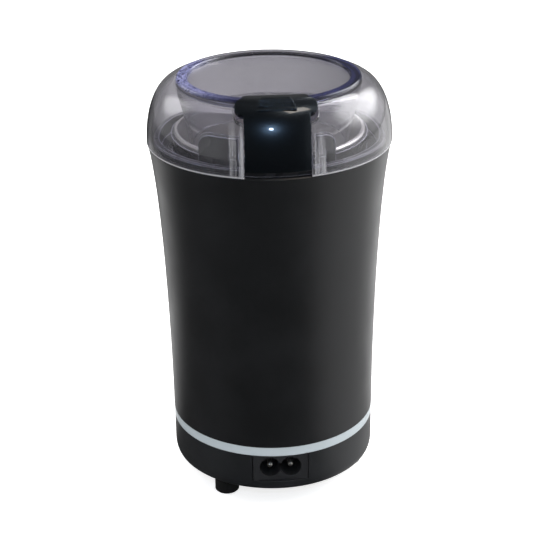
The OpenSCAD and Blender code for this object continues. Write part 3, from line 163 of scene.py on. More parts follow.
# The paper's glow lifts it to white for the lens only, and polished faces and clear
# plastic see the room's levels in its place
paper = bpy.data.materials.new("white_paper")
tree = cleared(paper)
rays = add(tree, "ShaderNodeLightPath").outputs
glow = add(tree, "ShaderNodeMath", {0: rays["Is Camera Ray"], 1: PAPER_GLOW},
           operation="MULTIPLY")
body = add(tree, "ShaderNodeBsdfDiffuse", {"Color": linear(PAPER_WHITE)})
light = add(tree, "ShaderNodeEmission", {"Color": WHITE, "Strength": glow})
seen = add(tree, "ShaderNodeAddShader", {0: body, 1: light})
place = add(tree, "ShaderNodeTexCoord").outputs["Object"]
outwards = add(tree, "ShaderNodeVectorMath", {0: place}, operation="NORMALIZE").outputs[0]
# Far from the grinder the paper runs under the right box, and into shade at the left
spread = add(tree, "ShaderNodeSeparateXYZ", {0: outwards}).outputs["X"]
darker = add(tree, "ShaderNodeMapRange",
             {"Value": spread, "From Min": SHADE_FROM, "From Max": SHADE_TO,
              "To Min": SHADE_LEFT, "To Max": SHADE_RIGHT})
lighter = add(tree, "ShaderNodeMapRange",
              {"Value": spread, "From Min": SHEEN_FROM, "From Max": SHEEN_TO,
               "To Min": 0, "To Max": SHEEN})
change = add(tree, "ShaderNodeMath", {0: darker, 1: lighter}, operation="ADD")
distance = add(tree, "ShaderNodeVectorMath", {0: place}, operation="LENGTH").outputs["Value"]
far = add(tree, "ShaderNodeMapRange",
          {"Value": distance, "From Min": FAR_FROM, "From Max": FAR_TO})
shade = add(tree, "ShaderNodeMath", {0: change, 1: far, 2: 1.0}, operation="MULTIPLY_ADD")
polished_level = room(tree, outwards, back=1.5, right=0.7, left=0.08, straight_back=0.0)
polished_level = add(tree, "ShaderNodeMath", {0: polished_level, 1: shade},
                     operation="MULTIPLY")
clear_level = room(tree, outwards, back=0.8, right=-0.45, left=-0.7, sides=(0.05, 0.3))
mirrored = add(tree, "ShaderNodeEmission", {"Color": WHITE, "Strength": polished_level})
through = add(tree, "ShaderNodeEmission", {"Color": WHITE, "Strength": clear_level})
both = add(tree, "ShaderNodeMixShader", {0: rays["Is Glossy Ray"], 1: seen, 2: mirrored})
both = add(tree, "ShaderNodeMixShader", {0: rays["Is Transmission Ray"], 1: both, 2: through})
add(tree, "ShaderNodeOutputMaterial", {"Surface": both})

sheet = bmesh.new()
bmesh.ops.create_circle(sheet, cap_ends=True, segments=PAPER_SIDES, radius=PAPER_REACH)
sheet_mesh = bpy.data.meshes.new("paper_floor")
sheet.to_mesh(sheet_mesh)
sheet.free()
sheet_mesh.materials.append(paper)
floor = bpy.data.objects.new("paper_floor", sheet_mesh)
scene.collection.objects.link(floor)

ROOM_LIGHT = 0.60
BACKGROUND_LEVEL = 1.0
CEILING_SPAN = 0.5


def overhead(tree, direction, around, starts, level):
    """Adds the pale ceiling to what polished faces or clear plastic see around them."""
    height = add(tree, "ShaderNodeSeparateXYZ", {0: direction}).outputs["Z"]
    ceiling = add(tree, "ShaderNodeMapRange",
                  {"Value": height, "From Min": starts, "From Max": starts + CEILING_SPAN,
                   "To Min": 0, "To Max": level}, interpolation_type="SMOOTHSTEP")
    return add(tree, "ShaderNodeMath", {0: ceiling, 1: around}, operation="ADD")


world = bpy.data.worlds.new("studio")
scene.world = world
tree = cleared(world)
rays = add(tree, "ShaderNodeLightPath").outputs
direction = add(tree, "ShaderNodeTexCoord").outputs["Generated"]
polished_level = room(tree, direction, back=0.12, right=0.9, left=0.5)
polished_level = overhead(tree, direction, polished_level, starts=0.8, level=0.25)
clear_level = room(tree, direction, back=0.25, right=1.2, left=0.25)
clear_level = overhead(tree, direction, clear_level, starts=0.3, level=1.2)
level = ROOM_LIGHT
for ray, ray_level in (("Is Glossy Ray", polished_level), ("Is Transmission Ray", clear_level),
                       ("Is Camera Ray", BACKGROUND_LEVEL)):
    level = add(tree, "ShaderNodeMix", {0: rays[ray], 2: level, 3: ray_level})
background = add(tree, "ShaderNodeBackground", {"Color": WHITE, "Strength": level})
add(tree, "ShaderNodeOutputWorld", {"Surface": background})

LAMPS = (
    # name, width, height, watts, colour, place, shown in polished faces
    ("fill", 0.60, 0.60, 3.6, "#ffffff", (0.00, 0.10, 0.85), False),
    ("back_light", 0.34, 0.22, 0.9, "#ffffff", (0.34, 0.46, 0.70), True),
    ("right_box", 1.00, 0.66, 8.5, "#ffffff", (0.50, 0.16, 0.43), True),
    ("left_box", 0.50, 0.52, 1.3, "#ffffff", (-0.45, 0.28, 0.42), True),
    ("skylight", 0.20, 0.13, 0.5, "#fff0e0", (0.19, -0.23, 0.72), True),
    ("flash", 0.036, 0.028, 0.45, "#d0e8ff", (-0.02, -0.59, 0.46), True),
)
LAMP_AIM = Vector((0, 0, 0.12))
SOFT_BOXES = ("right_box", "left_box")
CLOTH_MIDDLE = (0.5, 0.5, 0)
CLOTH_FULL, CLOTH_EDGE = 0.2, 0.5


def feathered(lamp):
    """Fades a lamp from its middle to its edge, as the cloth of a soft box does."""
    tree = cleared(lamp)
    across = add(tree, "ShaderNodeNewGeometry").outputs["Parametric"]
    offset = add(tree, "ShaderNodeVectorMath", {0: across, 1: CLOTH_MIDDLE},
                 operation="DISTANCE")
    share = add(tree, "ShaderNodeMapRange",
                {"Value": offset.outputs["Value"], "From Min": CLOTH_FULL,
                 "From Max": CLOTH_EDGE, "To Min": 1, "To Max": 0},
                interpolation_type="SMOOTHSTEP")
    glow = add(tree, "ShaderNodeEmission", {"Color": WHITE, "Strength": share})
    add(tree, "ShaderNodeOutputLight", {"Surface": glow})


for name, width, height, watts, tone, place, shown in LAMPS:
    lamp = bpy.data.lights.new(name, "AREA")
    lamp.shape = "RECTANGLE"
    lamp.size = width
    lamp.size_y = height
    lamp.energy = watts
    lamp.color = linear(tone)[:3]
    if name in SOFT_BOXES:
        feathered(lamp)
    stand = bpy.data.objects.new(name, lamp)
    stand.location = place
    stand.rotation_euler = (LAMP_AIM - Vector(place)).to_track_quat("-Z", "Y").to_euler()
    stand.visible_glossy = shown
    stand.visible_transmission = shown
    scene.collection.objects.link(stand)

# ---- Rubber feet ----
# Three stepped stubs of black nitrile rubber, moulded, their stems pulled
# through the floor of the base so that their heads hold them.

home = {node: body for body, nodes in frame["record"]["behaviour"]["bodies"].items()
        for node in nodes}
WELD = 0.001 * MM
# Noise seldom leaves this span
NOISE_LOW, NOISE_HIGH = 0.3, 0.7


def dressed(node, name, material, smooth=32):
    """Stands for a CAD piece: a welded copy, smooth where faces meet below an angle in degrees."""
    mesh = frame["nodes"][node].data.copy()
    loose = bmesh.new()
    loose.from_mesh(mesh)
    bmesh.ops.remove_doubles(loose, verts=loose.verts, dist=WELD)
    loose.to_mesh(mesh)
    loose.free()
    for attribute in ("custom_normal", "sharp_face", "sharp_edge"):
        if attribute in mesh.attributes:
            mesh.attributes.remove(mesh.attributes[attribute])
    mesh.name = name
    mesh.materials.clear()
    mesh.materials.append(material)
    mesh.shade_smooth()
    mesh.set_sharp_from_angle(angle=math.radians(smooth))
    piece = bpy.data.objects.new(name, mesh)
    scene.collection.objects.link(piece)
    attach(piece, home[node])
    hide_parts(node)


def coated(name, hex_colour, sockets=()):
    """A material of one Principled shader, with the tree and shader that a pattern is added to."""
    material = bpy.data.materials.new(name)
    tree = cleared(material)
    shader = add(tree, "ShaderNodeBsdfPrincipled",
                 {"Base Color": linear(hex_colour), **dict(sockets)})
    add(tree, "ShaderNodeOutputMaterial", {"Surface": shader})
    return material, tree, shader


def grained(tree, shader, grain, depth, roughness, patch=12 * MM, edge=0.0):
    """Fine relief, softened edges if asked, and a roughness that wanders over larger patches."""
    place = add(tree, "ShaderNodeTexCoord").outputs["Object"]
    fine = add(tree, "ShaderNodeTexNoise", {"Vector": place, "Scale": 1 / grain, "Detail": 2.0})
    bump = add(tree, "ShaderNodeBump", {"Strength": 1.0, "Distance": depth, "Height": fine})
    if edge:
        rounded = add(tree, "ShaderNodeBevel", {"Radius": edge}, samples=4)
        tree.links.new(rounded.outputs[0], bump.inputs["Normal"])
    wide = add(tree, "ShaderNodeTexNoise", {"Vector": place, "Scale": 1 / patch, "Detail": 3.0})
    rough = add(tree, "ShaderNodeMapRange",
                {"Value": wide, "From Min": NOISE_LOW, "From Max": NOISE_HIGH,
                 "To Min": roughness[0], "To Max": roughness[1]})
    tree.links.new(bump.outputs[0], shader.inputs["Normal"])
    tree.links.new(rough.outputs[0], shader.inputs["Roughness"])
    return wide


# Nitrile rubber, moulded: dull black with a dusty bloom
rubber, tree, shader = coated("nitrile_rubber", "#141415", {"IOR": 1.52})
grained(tree, shader, 0.35 * MM, 0.02 * MM, roughness=(0.62, 0.8))
dressed("rubber_feet", "foot_stubs", rubber)

# ---- Base cover ----
# Black ABS cup with screw wells and two fans of air slots, moulded in a
# spark-eroded tool and screwed up into the holder.

# The true grain is 0.1 mm, too fine to show, so it is drawn at 0.4 mm
ERODED_GRAIN, ERODED_DEPTH = 0.4 * MM, 0.012 * MM
ERODED_PATCH = 18 * MM
WORN_FROM, WORN_TO = 0.35, 0.75


def spark_eroded(name, hex_colour, worn_hex, roughness, edge):
    """Moulded ABS from a spark-eroded tool: an even fine grain with slightly greyer patches."""
    material, tree, shader = coated(name, hex_colour, {"IOR": 1.53})
    wide = grained(tree, shader, ERODED_GRAIN, ERODED_DEPTH, roughness, ERODED_PATCH, edge)
    worn = add(tree, "ShaderNodeMapRange",
               {"Value": wide, "From Min": WORN_FROM, "From Max": WORN_TO})
    tone = add(tree, "ShaderNodeMix", {0: worn, 6: linear(hex_colour), 7: linear(worn_hex)},
               data_type="RGBA")
    tree.links.new(tone.outputs[2], shader.inputs["Base Color"])
    return material, tree, shader, tone


base_abs, *_ = spark_eroded("spark_eroded_base_abs", "#1b1d20", "#212326", (0.36, 0.44), 0.5 * MM)
dressed("base_cover", "base_cup", base_abs)

# ---- Base screws ----
# Three pan-head thread-forming screws of zinc-plated steel, driven up through
# the wells into the posts of the holder.


def plated(name, hex_colour, other_hex, roughness):
    """Plated metal: bright, with faint cloudy patches where the bath left them."""
    material, tree, shader = coated(name, hex_colour, {"Metallic": 1.0})
    wide = grained(tree, shader, 0.25 * MM, 0.004 * MM, roughness, patch=1.5 * MM)
    tone = add(tree, "ShaderNodeMix", {0: wide, 6: linear(hex_colour), 7: linear(other_hex)},
               data_type="RGBA")
    tree.links.new(tone.outputs[2], shader.inputs["Base Color"])
    return material


zinc = plated("zinc_plated_steel", "#b9bcc0", "#a2a8b2", (0.24, 0.38))
dressed("base_screws", "base_screw_set", zinc)

# ---- Mains inlet ----
# Figure-eight inlet of black glass-filled nylon, slid into the base, with two
# nickel-plated brass pins pressed through its floor.

# Moulded nylon: the glass in it leaves a dull, slightly uneven skin
nylon, tree, shader = coated("glass_filled_nylon", "#26272a", {"IOR": 1.53})
grained(tree, shader, 0.3 * MM, 0.006 * MM, patch=4 * MM, roughness=(0.32, 0.46), edge=0.3 * MM)
dressed("inlet_housing", "inlet_block", nylon, smooth=25)
nickel = plated("nickel_plated_brass", "#eeece6", "#dcd9d1", (0.3, 0.45))
dressed("inlet_pins", "inlet_pin_pair", nickel)

# ---- Accent ring ----
# Pale band of satin ABS that centres housing and base on its tongue, held
# between them by the base screws.

# Moulded ABS under a thin clear lacquer: a soft sheen over pale blue grey
band_abs, tree, shader = coated("satin_band_abs", "#b9c3c8", {"IOR": 1.53, "Coat Weight": 0.6,
                                                              "Coat Roughness": 0.05})
grained(tree, shader, 0.5 * MM, 0.006 * MM, patch=10 * MM, roughness=(0.34, 0.44), edge=0.3 * MM)
dressed("accent_ring", "accent_band", band_abs)

# ---- Outer housing ----
# Flared shell of black ABS, one moulding with six ribs inside, clamped between
# the accent ring and the holder.

housing_abs, *_ = spark_eroded("spark_eroded_housing_abs", "#151618", "#1a1b1e", (0.36, 0.43),
                               0.5 * MM)
dressed("outer_housing", "housing_shell", housing_abs)

# ---- Interference capacitor ----
# Box capacitor in a yellow polyester case, resin filled, that stands on the base
# behind the fan.

# Moulded polyester: smooth, a little waxy
polyester, tree, shader = coated("capacitor_polyester", "#c8b648", {"IOR": 1.57})
grained(tree, shader, 0.3 * MM, 0.008 * MM, patch=3 * MM, roughness=(0.3, 0.42))
dressed("capacitor", "capacitor_box", polyester)

# ---- Brackets, bushes and bolts ----
# Two die-cast bridges that hold the sintered bushes over the ends of the motor,
# drawn together by two through bolts.

# Die casting, as it leaves the tool: grey and faintly pitted
casting, tree, shader = coated("die_cast_zinc", "#a3a6a9", {"Metallic": 1.0})
grained(tree, shader, 0.8 * MM, 0.03 * MM, patch=6 * MM, roughness=(0.42, 0.58))
dressed("lower_bracket", "lower_bridge", casting)
dressed("upper_bracket", "upper_bridge", casting)

# Sintered bronze: matt, with open pores that hold the oil
bronze, tree, shader = coated("sintered_bronze", "#a9814a", {"Metallic": 1.0})
grained(tree, shader, 0.3 * MM, 0.015 * MM, patch=2 * MM, roughness=(0.35, 0.55))
dressed("upper_bearing", "upper_bush", bronze)
dressed("lower_bearing", "lower_bush", bronze)
dressed("motor_bolts", "motor_bolt_pair", zinc)

# ---- Brushes ----
# Two blocks of pressed graphite in channels of pressed brass, which point them at
# the commutator.

# Rolled brass sheet: bright yellow, with a slight haze
brass, tree, shader = coated("pressed_brass", "#c49a46", {"Metallic": 1.0})
grained(tree, shader, 0.4 * MM, 0.005 * MM, patch=3 * MM, roughness=(0.22, 0.36))
dressed("brush_holders", "brush_channels", brass)

# Pressed graphite: dark grey with a greasy sheen
graphite, tree, shader = coated("carbon_graphite", "#2b2b2d", {"IOR": 1.6})
grained(tree, shader, 0.25 * MM, 0.01 * MM, patch=1.5 * MM, roughness=(0.4, 0.62))
dressed("carbon_brushes", "carbon_blocks", graphite)

# ---- Rotor ----
# Ground steel shaft with the laminated armature, its windings, the commutator
# and the cooling fan pressed on.


def turned(tree, shader, spacing, depth, roughness):
    """Rings round the grinder's axis, as a lathe, grinder or spinning tool leaves them."""
    place = add(tree, "ShaderNodeTexCoord").outputs["Object"]
    flat = add(tree, "ShaderNodeVectorMath", {0: place, 1: (1, 1, 0)}, operation="MULTIPLY")
    radius = add(tree, "ShaderNodeVectorMath", {0: flat}, operation="LENGTH").outputs["Value"]
    height = add(tree, "ShaderNodeSeparateXYZ", {0: place}).outputs["Z"]
    section = add(tree, "ShaderNodeCombineXYZ", {"X": radius, "Z": height})
    rings = add(tree, "ShaderNodeTexNoise",
                {"Vector": section, "Scale": 1 / spacing, "Detail": 2.0})
    bump = add(tree, "ShaderNodeBump", {"Strength": 1.0, "Distance": depth, "Height": rings})
    rough = add(tree, "ShaderNodeMapRange",
                {"Value": rings, "From Min": NOISE_LOW, "From Max": NOISE_HIGH,
                 "To Min": roughness[0], "To Max": roughness[1]})
    tree.links.new(bump.outputs[0], shader.inputs["Normal"])
    tree.links.new(rough.outputs[0], shader.inputs["Roughness"])


# Ground bar: fine rings and a cool sheen
ground_steel, tree, shader = coated("ground_steel", "#9a9c9f", {"Metallic": 1.0})
turned(tree, shader, 0.35 * MM, 0.004 * MM, (0.18, 0.32))
dressed("motor_shaft", "motor_spindle", ground_steel)

# A wave texture repeats after this length at a scale of 1
WAVE_LENGTH = math.tau / 20
SHEET_PITCH, SHEET_DEPTH = 0.5 * MM, 0.03 * MM
VARNISH_FROM, VARNISH_TO = 0.15, 0.45
VARNISH_PATCH = 3 * MM

# Electrical steel sheets, stacked and dipped: a dark line of varnish between each two
core_steel, tree, shader = coated("varnished_laminations", "#7d7975", {"Metallic": 0.8})
place = add(tree, "ShaderNodeTexCoord").outputs["Object"]
stack = add(tree, "ShaderNodeTexWave",
            {"Vector": place, "Scale": WAVE_LENGTH / SHEET_PITCH, "Distortion": 0.4,
             "Detail": 1.0}, bands_direction="Z")
line = add(tree, "ShaderNodeMapRange",
           {"Value": stack, "From Min": VARNISH_FROM, "From Max": VARNISH_TO})
tone = add(tree, "ShaderNodeMix", {0: line, 6: linear("#2f2b28"), 7: linear("#7d7975")},
           data_type="RGBA")
bump = add(tree, "ShaderNodeBump", {"Strength": 1.0, "Distance": SHEET_DEPTH, "Height": line})
mottle = add(tree, "ShaderNodeTexNoise",
             {"Vector": place, "Scale": 1 / VARNISH_PATCH, "Detail": 3.0})
rough = add(tree, "ShaderNodeMapRange", {"Value": mottle, "To Min": 0.35, "To Max": 0.6})
tree.links.new(tone.outputs[2], shader.inputs["Base Color"])
tree.links.new(bump.outputs[0], shader.inputs["Normal"])
tree.links.new(rough.outputs[0], shader.inputs["Roughness"])
dressed("armature_core", "armature_stack", core_steel)

STRAND_PITCH, STRAND_DEPTH = 0.5 * MM, 0.15 * MM

# Enamelled copper: glossy, wound strands side by side
enamel, tree, shader = coated("enamelled_copper", "#a5562b",
                              {"Metallic": 0.7, "Coat Weight": 0.6, "Coat Roughness": 0.15})
place = add(tree, "ShaderNodeTexCoord").outputs["Object"]
strands = add(tree, "ShaderNodeTexWave",
              {"Vector": place, "Scale": WAVE_LENGTH / STRAND_PITCH, "Distortion": 3.0,
               "Detail": 2.0, "Detail Scale": 0.4}, bands_direction="DIAGONAL")
bump = add(tree, "ShaderNodeBump",
           {"Strength": 1.0, "Distance": STRAND_DEPTH, "Height": strands})
# Painted shade: the copper's colour darkens down into the grooves between the strands
tone = add(tree, "ShaderNodeMix", {0: strands, 6: linear("#5e2a14"), 7: linear("#b9672f")},
           data_type="RGBA")
rough = add(tree, "ShaderNodeMapRange", {"Value": strands, "To Min": 0.5, "To Max": 0.25})
tree.links.new(tone.outputs[2], shader.inputs["Base Color"])
tree.links.new(bump.outputs[0], shader.inputs["Normal"])
tree.links.new(rough.outputs[0], shader.inputs["Roughness"])
dressed("armature_windings", "armature_coils", enamel)

# Turned copper: fine rings, darkened a little by the brushes
copper, tree, shader = coated("commutator_copper", "#b06a3a", {"Metallic": 1.0})
turned(tree, shader, 0.3 * MM, 0.006 * MM, (0.22, 0.42))
dressed("commutator", "commutator_bars", copper)

# Moulded nylon: dark grey with a dull shine
fan_nylon, tree, shader = coated("moulded_fan_nylon", "#2e3135", {"IOR": 1.53})
grained(tree, shader, 0.4 * MM, 0.008 * MM, patch=5 * MM, roughness=(0.38, 0.5))
dressed("cooling_fan", "cooling_impeller", fan_nylon)

# ---- Stator ----
# Stack of varnished sheets with two wound field coils, the still half of the
# motor.

dressed("stator_core", "stator_stack", core_steel)
dressed("field_coils", "field_coil_pair", enamel)

# ---- Motor mounting ----
# Two plated screws through soft rubber grommets, which keep the motor's hum out
# of the holder.

dressed("motor_screws", "motor_screw_pair", zinc)
dressed("motor_grommets", "motor_grommet_pair", rubber)

# ---- Holder, bowl and seals ----
# Black ABS carrier with the deck and the switch tower; the deep-drawn stainless
# bowl sits in it on a silicone ring, and a lip seal closes it round the shaft.

PAINTED_EDGE_HIGHLIGHT, HIGHLIGHT_WIDTH = "#dedbe8", 0.8 * MM
# How far the softened normal still agrees with the face: flat, and well round the edge
HIGHLIGHT_FROM, HIGHLIGHT_TO = 0.985, 0.88

holder_abs, tree, shader, plain = spark_eroded("smooth_holder_abs", "#242528", "#2c2e31",
                                               (0.22, 0.32), 0.9 * MM)
# Painted highlight: the edges are coloured pale, standing in for the light that catches their
# rounding
soft = add(tree, "ShaderNodeBevel", {"Radius": HIGHLIGHT_WIDTH}, samples=6)
flat = add(tree, "ShaderNodeNewGeometry").outputs["True Normal"]
alike = add(tree, "ShaderNodeVectorMath", {0: soft, 1: flat}, operation="DOT_PRODUCT")
edge = add(tree, "ShaderNodeMapRange",
           {"Value": alike.outputs["Value"], "From Min": HIGHLIGHT_FROM, "From Max": HIGHLIGHT_TO})
tone = add(tree, "ShaderNodeMix", {0: edge, 6: plain.outputs[2], 7: linear(PAINTED_EDGE_HIGHLIGHT)},
           data_type="RGBA")
tree.links.new(tone.outputs[2], shader.inputs["Base Color"])
dressed("bowl_holder", "bowl_carrier", holder_abs)

# Drawn stainless steel, finished by spinning: rings that stretch the lights across them
stainless, tree, shader = coated("spun_stainless_steel", "#e0deda",
                                 {"Metallic": 1.0, "Anisotropic": 0.6})
turned(tree, shader, 0.45 * MM, 0.003 * MM, (0.30, 0.42))
tangent = add(tree, "ShaderNodeTangent", direction_type="RADIAL", axis="Z")
tree.links.new(tangent.outputs[0], shader.inputs["Tangent"])
dressed("bowl", "steel_bowl", stainless)

# Moulded silicone: matt, with a little light going in
silicone, tree, shader = coated("silicone_rubber", "#9a9a98",
                                {"IOR": 1.41, "Subsurface Weight": 0.1})
grained(tree, shader, 0.4 * MM, 0.008 * MM, patch=4 * MM, roughness=(0.5, 0.65))
dressed("bowl_gasket", "bowl_seal_ring", silicone)
dressed("shaft_seal", "shaft_lip_seal", rubber)

# ---- Blade ----
# Two-winged blade of ground stainless steel between a nylon hub and a plated
# nut on the end of the shaft.

GRIND_LINES, GRIND_DEPTH = 0.3 * MM, 0.002 * MM
# Squeezes the noise so that its lumps run as lines across the wings
ACROSS_WINGS = (1, 0.04, 0.04)

# Belt-ground sheet: fine straight lines
blade_steel, tree, shader = coated("ground_blade_steel", "#b4b7ba", {"Metallic": 1.0})
place = add(tree, "ShaderNodeTexCoord").outputs["Object"]
across = add(tree, "ShaderNodeVectorMath", {0: place, 1: ACROSS_WINGS}, operation="MULTIPLY")
lines = add(tree, "ShaderNodeTexNoise",
            {"Vector": across, "Scale": 1 / GRIND_LINES, "Detail": 2.0})
bump = add(tree, "ShaderNodeBump", {"Strength": 1.0, "Distance": GRIND_DEPTH, "Height": lines})
rough = add(tree, "ShaderNodeMapRange", {"Value": lines, "To Min": 0.22, "To Max": 0.34})
tree.links.new(bump.outputs[0], shader.inputs["Normal"])
tree.links.new(rough.outputs[0], shader.inputs["Roughness"])
dressed("blade", "grinding_blade", blade_steel, smooth=15)
dressed("blade_hub", "blade_boss", fan_nylon)
dressed("blade_nut", "blade_lock_nut", nickel, smooth=20)

# ---- Switch ----
# Snap switch in a PBT case with brass tabs and a spring-steel lever, screwed to
# the holder's tab.

# Moulded polyester: smooth and slightly glossy
pbt, tree, shader = coated("switch_pbt", "#22252b", {"IOR": 1.55})
grained(tree, shader, 0.3 * MM, 0.005 * MM, patch=3 * MM, roughness=(0.3, 0.42))
dressed("switch_body", "switch_case", pbt)
dressed("switch_terminals", "switch_tabs", brass)
dressed("switch_screws", "switch_screw_pair", zinc)
spring_steel = plated("spring_steel", "#bcbec1", "#a9acb2", (0.2, 0.32))
dressed("switch_lever", "switch_arm", spring_steel)

# ---- Push rod ----
# Natural white acetal rod in the switch tower, with a coil spring of steel wire
# that lifts it back.

# Turned acetal: milky, with a soft shine
acetal, tree, shader = coated("natural_acetal", "#e2e0d8",
                              {"IOR": 1.48, "Subsurface Weight": 0.15, "Subsurface Scale": 1 * MM})
grained(tree, shader, 0.5 * MM, 0.004 * MM, patch=4 * MM, roughness=(0.3, 0.42))
dressed("push_rod", "push_rod_bar", acetal)

WIRE_SIDES = 10
COIL_STEPS = 28
WIRE_R = 0.25 * MM
ROD_TURNS = 9.0

coil_tree = bpy.data.node_groups.new("coil_spring", "GeometryNodeTree")
for name, kind in (("Places", "NodeSocketGeometry"), ("Coil radius", "NodeSocketFloat"),
                   ("Wire radius", "NodeSocketFloat"), ("Length", "NodeSocketFloat"),
                   ("Turns", "NodeSocketFloat"), ("Steel", "NodeSocketMaterial")):
    coil_tree.interface.new_socket(name, in_out="INPUT", socket_type=kind)
coil_tree.interface.new_socket("Springs", in_out="OUTPUT", socket_type="NodeSocketGeometry")
given = add(coil_tree, "NodeGroupInput").outputs
helix = add(coil_tree, "GeometryNodeCurveSpiral",
            {"Resolution": COIL_STEPS, "Rotations": given["Turns"],
             "Start Radius": given["Coil radius"], "End Radius": given["Coil radius"],
             "Height": given["Length"]})
section = add(coil_tree, "GeometryNodeCurvePrimitiveCircle",
              {"Resolution": WIRE_SIDES, "Radius": given["Wire radius"]})
wound = add(coil_tree, "GeometryNodeCurveToMesh",
            {"Curve": helix, "Profile Curve": section, "Fill Caps": True})
placed = add(coil_tree, "GeometryNodeInstanceOnPoints",
             {"Points": given["Places"], "Instance": wound})
solid = add(coil_tree, "GeometryNodeRealizeInstances", {"Geometry": placed})
steel = add(coil_tree, "GeometryNodeSetMaterial", {"Geometry": solid, "Material": given["Steel"]})
add(coil_tree, "NodeGroupOutput", {"Springs": steel})


def grown(name, tree, places, **inputs):
    """Runs a geometry tree on a few points and returns its result as a plain mesh object."""
    points = bpy.data.meshes.new(name)
    points.from_pydata(places, [], [])
    piece = bpy.data.objects.new(name, points)
    scene.collection.objects.link(piece)
    modifier = piece.modifiers.new(name, "NODES")
    modifier.node_group = tree
    for socket in tree.interface.items_tree:
        key = socket.name.lower().replace(" ", "_")
        if socket.in_out == "INPUT" and key in inputs:
            modifier[socket.identifier] = inputs[key]
    depsgraph = bpy.context.evaluated_depsgraph_get()
    mesh = bpy.data.meshes.new_from_object(piece.evaluated_get(depsgraph))
    piece.modifiers.clear()
    piece.data = mesh
    bpy.data.meshes.remove(points)
    mesh.name = name
    mesh.shade_smooth()
    return piece


# Music wire: drawn bright, with fine lines that hardly show
music_wire, tree, shader = coated("music_wire", "#b4b6b9", {"Metallic": 1.0})
grained(tree, shader, 0.2 * MM, 0.002 * MM, patch=1 * MM, roughness=(0.2, 0.3))

rod_low, rod_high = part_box("rod_spring")
rod_centre = (rod_low + rod_high) / 2
rod_coil = grown("rod_return_spring", coil_tree,
                 [(rod_centre.x, rod_centre.y, rod_low.z + WIRE_R)],
                 coil_radius=(rod_high.x - rod_low.x) / 2 - WIRE_R, wire_radius=WIRE_R,
                 length=rod_high.z - rod_low.z - 2 * WIRE_R, turns=ROD_TURNS, steel=music_wire)
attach(rod_coil, home["rod_spring"])
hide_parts("rod_spring")
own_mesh(rod_coil)

# ---- Wiring ----
# Three PVC-insulated leads with push-on terminals under moulded sleeves: inlet to
# switch, inlet to rear coil, and switch to front coil.


def pvc(name, hex_colour, other_hex):
    """Extruded PVC: an even soft gloss with faint marks from handling."""
    material, tree, shader = coated(name, hex_colour, {"IOR": 1.53})
    wide = grained(tree, shader, 0.6 * MM, 0.006 * MM, patch=3 * MM, roughness=(0.3, 0.45))
    tone = add(tree, "ShaderNodeMix", {0: wide, 6: linear(hex_colour), 7: linear(other_hex)},
               data_type="RGBA")
    tree.links.new(tone.outputs[2], shader.inputs["Base Color"])
    return material


dressed("live_wire", "live_lead", pvc("brown_pvc", "#7a4a2c", "#6b3f25"))
dressed("neutral_wire", "neutral_lead", pvc("blue_pvc", "#34566f", "#2d4b62"))
dressed("motor_wire", "motor_lead", pvc("grey_pvc", "#b9b4a8", "#a8a397"))

# ---- Lid ----
# Dome, raised ring, skirt and button pocket in one clear moulding of styrene
# acrylonitrile, tinted a faint smoke violet, which lifts straight off.

LID_WHITE, LID_SHADOW = "#f5f4f6", "#e9e8f2"
LID_TINT, LID_DENSITY = "#aeacb9", 130.0
LID_CLEARNESS = 0.97
LID_EDGE = 0.35 * MM
LID_BLUR = 0.3 * MM
RIPPLE_SIZE, RIPPLE_DEPTH = 9 * MM, 0.03 * MM
POLISHED, FROSTED = 0.02, 0.4

clear = bpy.data.materials.new("clear_styrene_acrylonitrile")
tree = cleared(clear)
shader = add(tree, "ShaderNodeBsdfPrincipled",
             {"Base Color": linear(LID_WHITE), "IOR": 1.57, "Specular IOR Level": 0.7})
place = add(tree, "ShaderNodeTexCoord").outputs["Object"]
split = add(tree, "ShaderNodeSeparateXYZ", {0: place}).outputs
flat = add(tree, "ShaderNodeVectorMath", {0: place, 1: (1, 1, 0)}, operation="MULTIPLY")
radius = add(tree, "ShaderNodeVectorMath", {0: flat}, operation="LENGTH").outputs["Value"]

# Moulding ripple: shallow waves a few millimetres across that bend the reflections
ripple = add(tree, "ShaderNodeTexNoise",
             {"Vector": place, "Scale": 1 / RIPPLE_SIZE, "Detail": 1.0})
rounded = add(tree, "ShaderNodeBevel", {"Radius": LID_EDGE}, samples=4)
bump = add(tree, "ShaderNodeBump", {"Strength": 1.0, "Distance": RIPPLE_DEPTH,
                                    "Height": ripple, "Normal": rounded})
tree.links.new(bump.outputs[0], shader.inputs["Normal"])

RING_INNER, RING_OUTER, RING_FOOT = 32.7 * MM, 37 * MM, 173.2 * MM
REAR_FROM, REAR_TO, REAR_SHARE = 20 * MM, 30 * MM, 0.2
STREAK_SIZE, STREAK_FOLDS, FOLD_HEIGHT = 4 * MM, 6.0, 0.5
STREAK_FROM, STREAK_TO = 0.05, 0.25
LAVENDER, LAVENDER_LINE, NAVY = "#c6c9ff", "#34387c", "#32387e"
LIT_SIDE_CLOUD, SHADED_SIDE_CLOUD = 0.4, 0.05

# Painted reflection in the thick ring: lavender with streaks on its lit left side, navy on its
# shaded right side, and less of both at the back
inner = add(tree, "ShaderNodeMapRange",
            {"Value": radius, "From Min": RING_INNER - LID_BLUR, "From Max": RING_INNER})
outer = add(tree, "ShaderNodeMapRange",
            {"Value": radius, "From Min": RING_OUTER, "From Max": RING_OUTER + LID_BLUR,
             "To Min": 1, "To Max": 0})
above = add(tree, "ShaderNodeMapRange",
            {"Value": split["Z"], "From Min": RING_FOOT, "From Max": RING_FOOT + LID_BLUR})
rear = add(tree, "ShaderNodeMapRange",
           {"Value": split["Y"], "From Min": REAR_FROM, "From Max": REAR_TO,
            "To Min": 1, "To Max": REAR_SHARE}, interpolation_type="SMOOTHSTEP")
ring = inner
for mask in (outer, above, rear):
    ring = add(tree, "ShaderNodeMath", {0: ring, 1: mask}, operation="MULTIPLY")
streak_noise = add(tree, "ShaderNodeTexNoise",
           {"Vector": place, "Scale": 1 / STREAK_SIZE, "Detail": 1.0, "Distortion": 1.0})
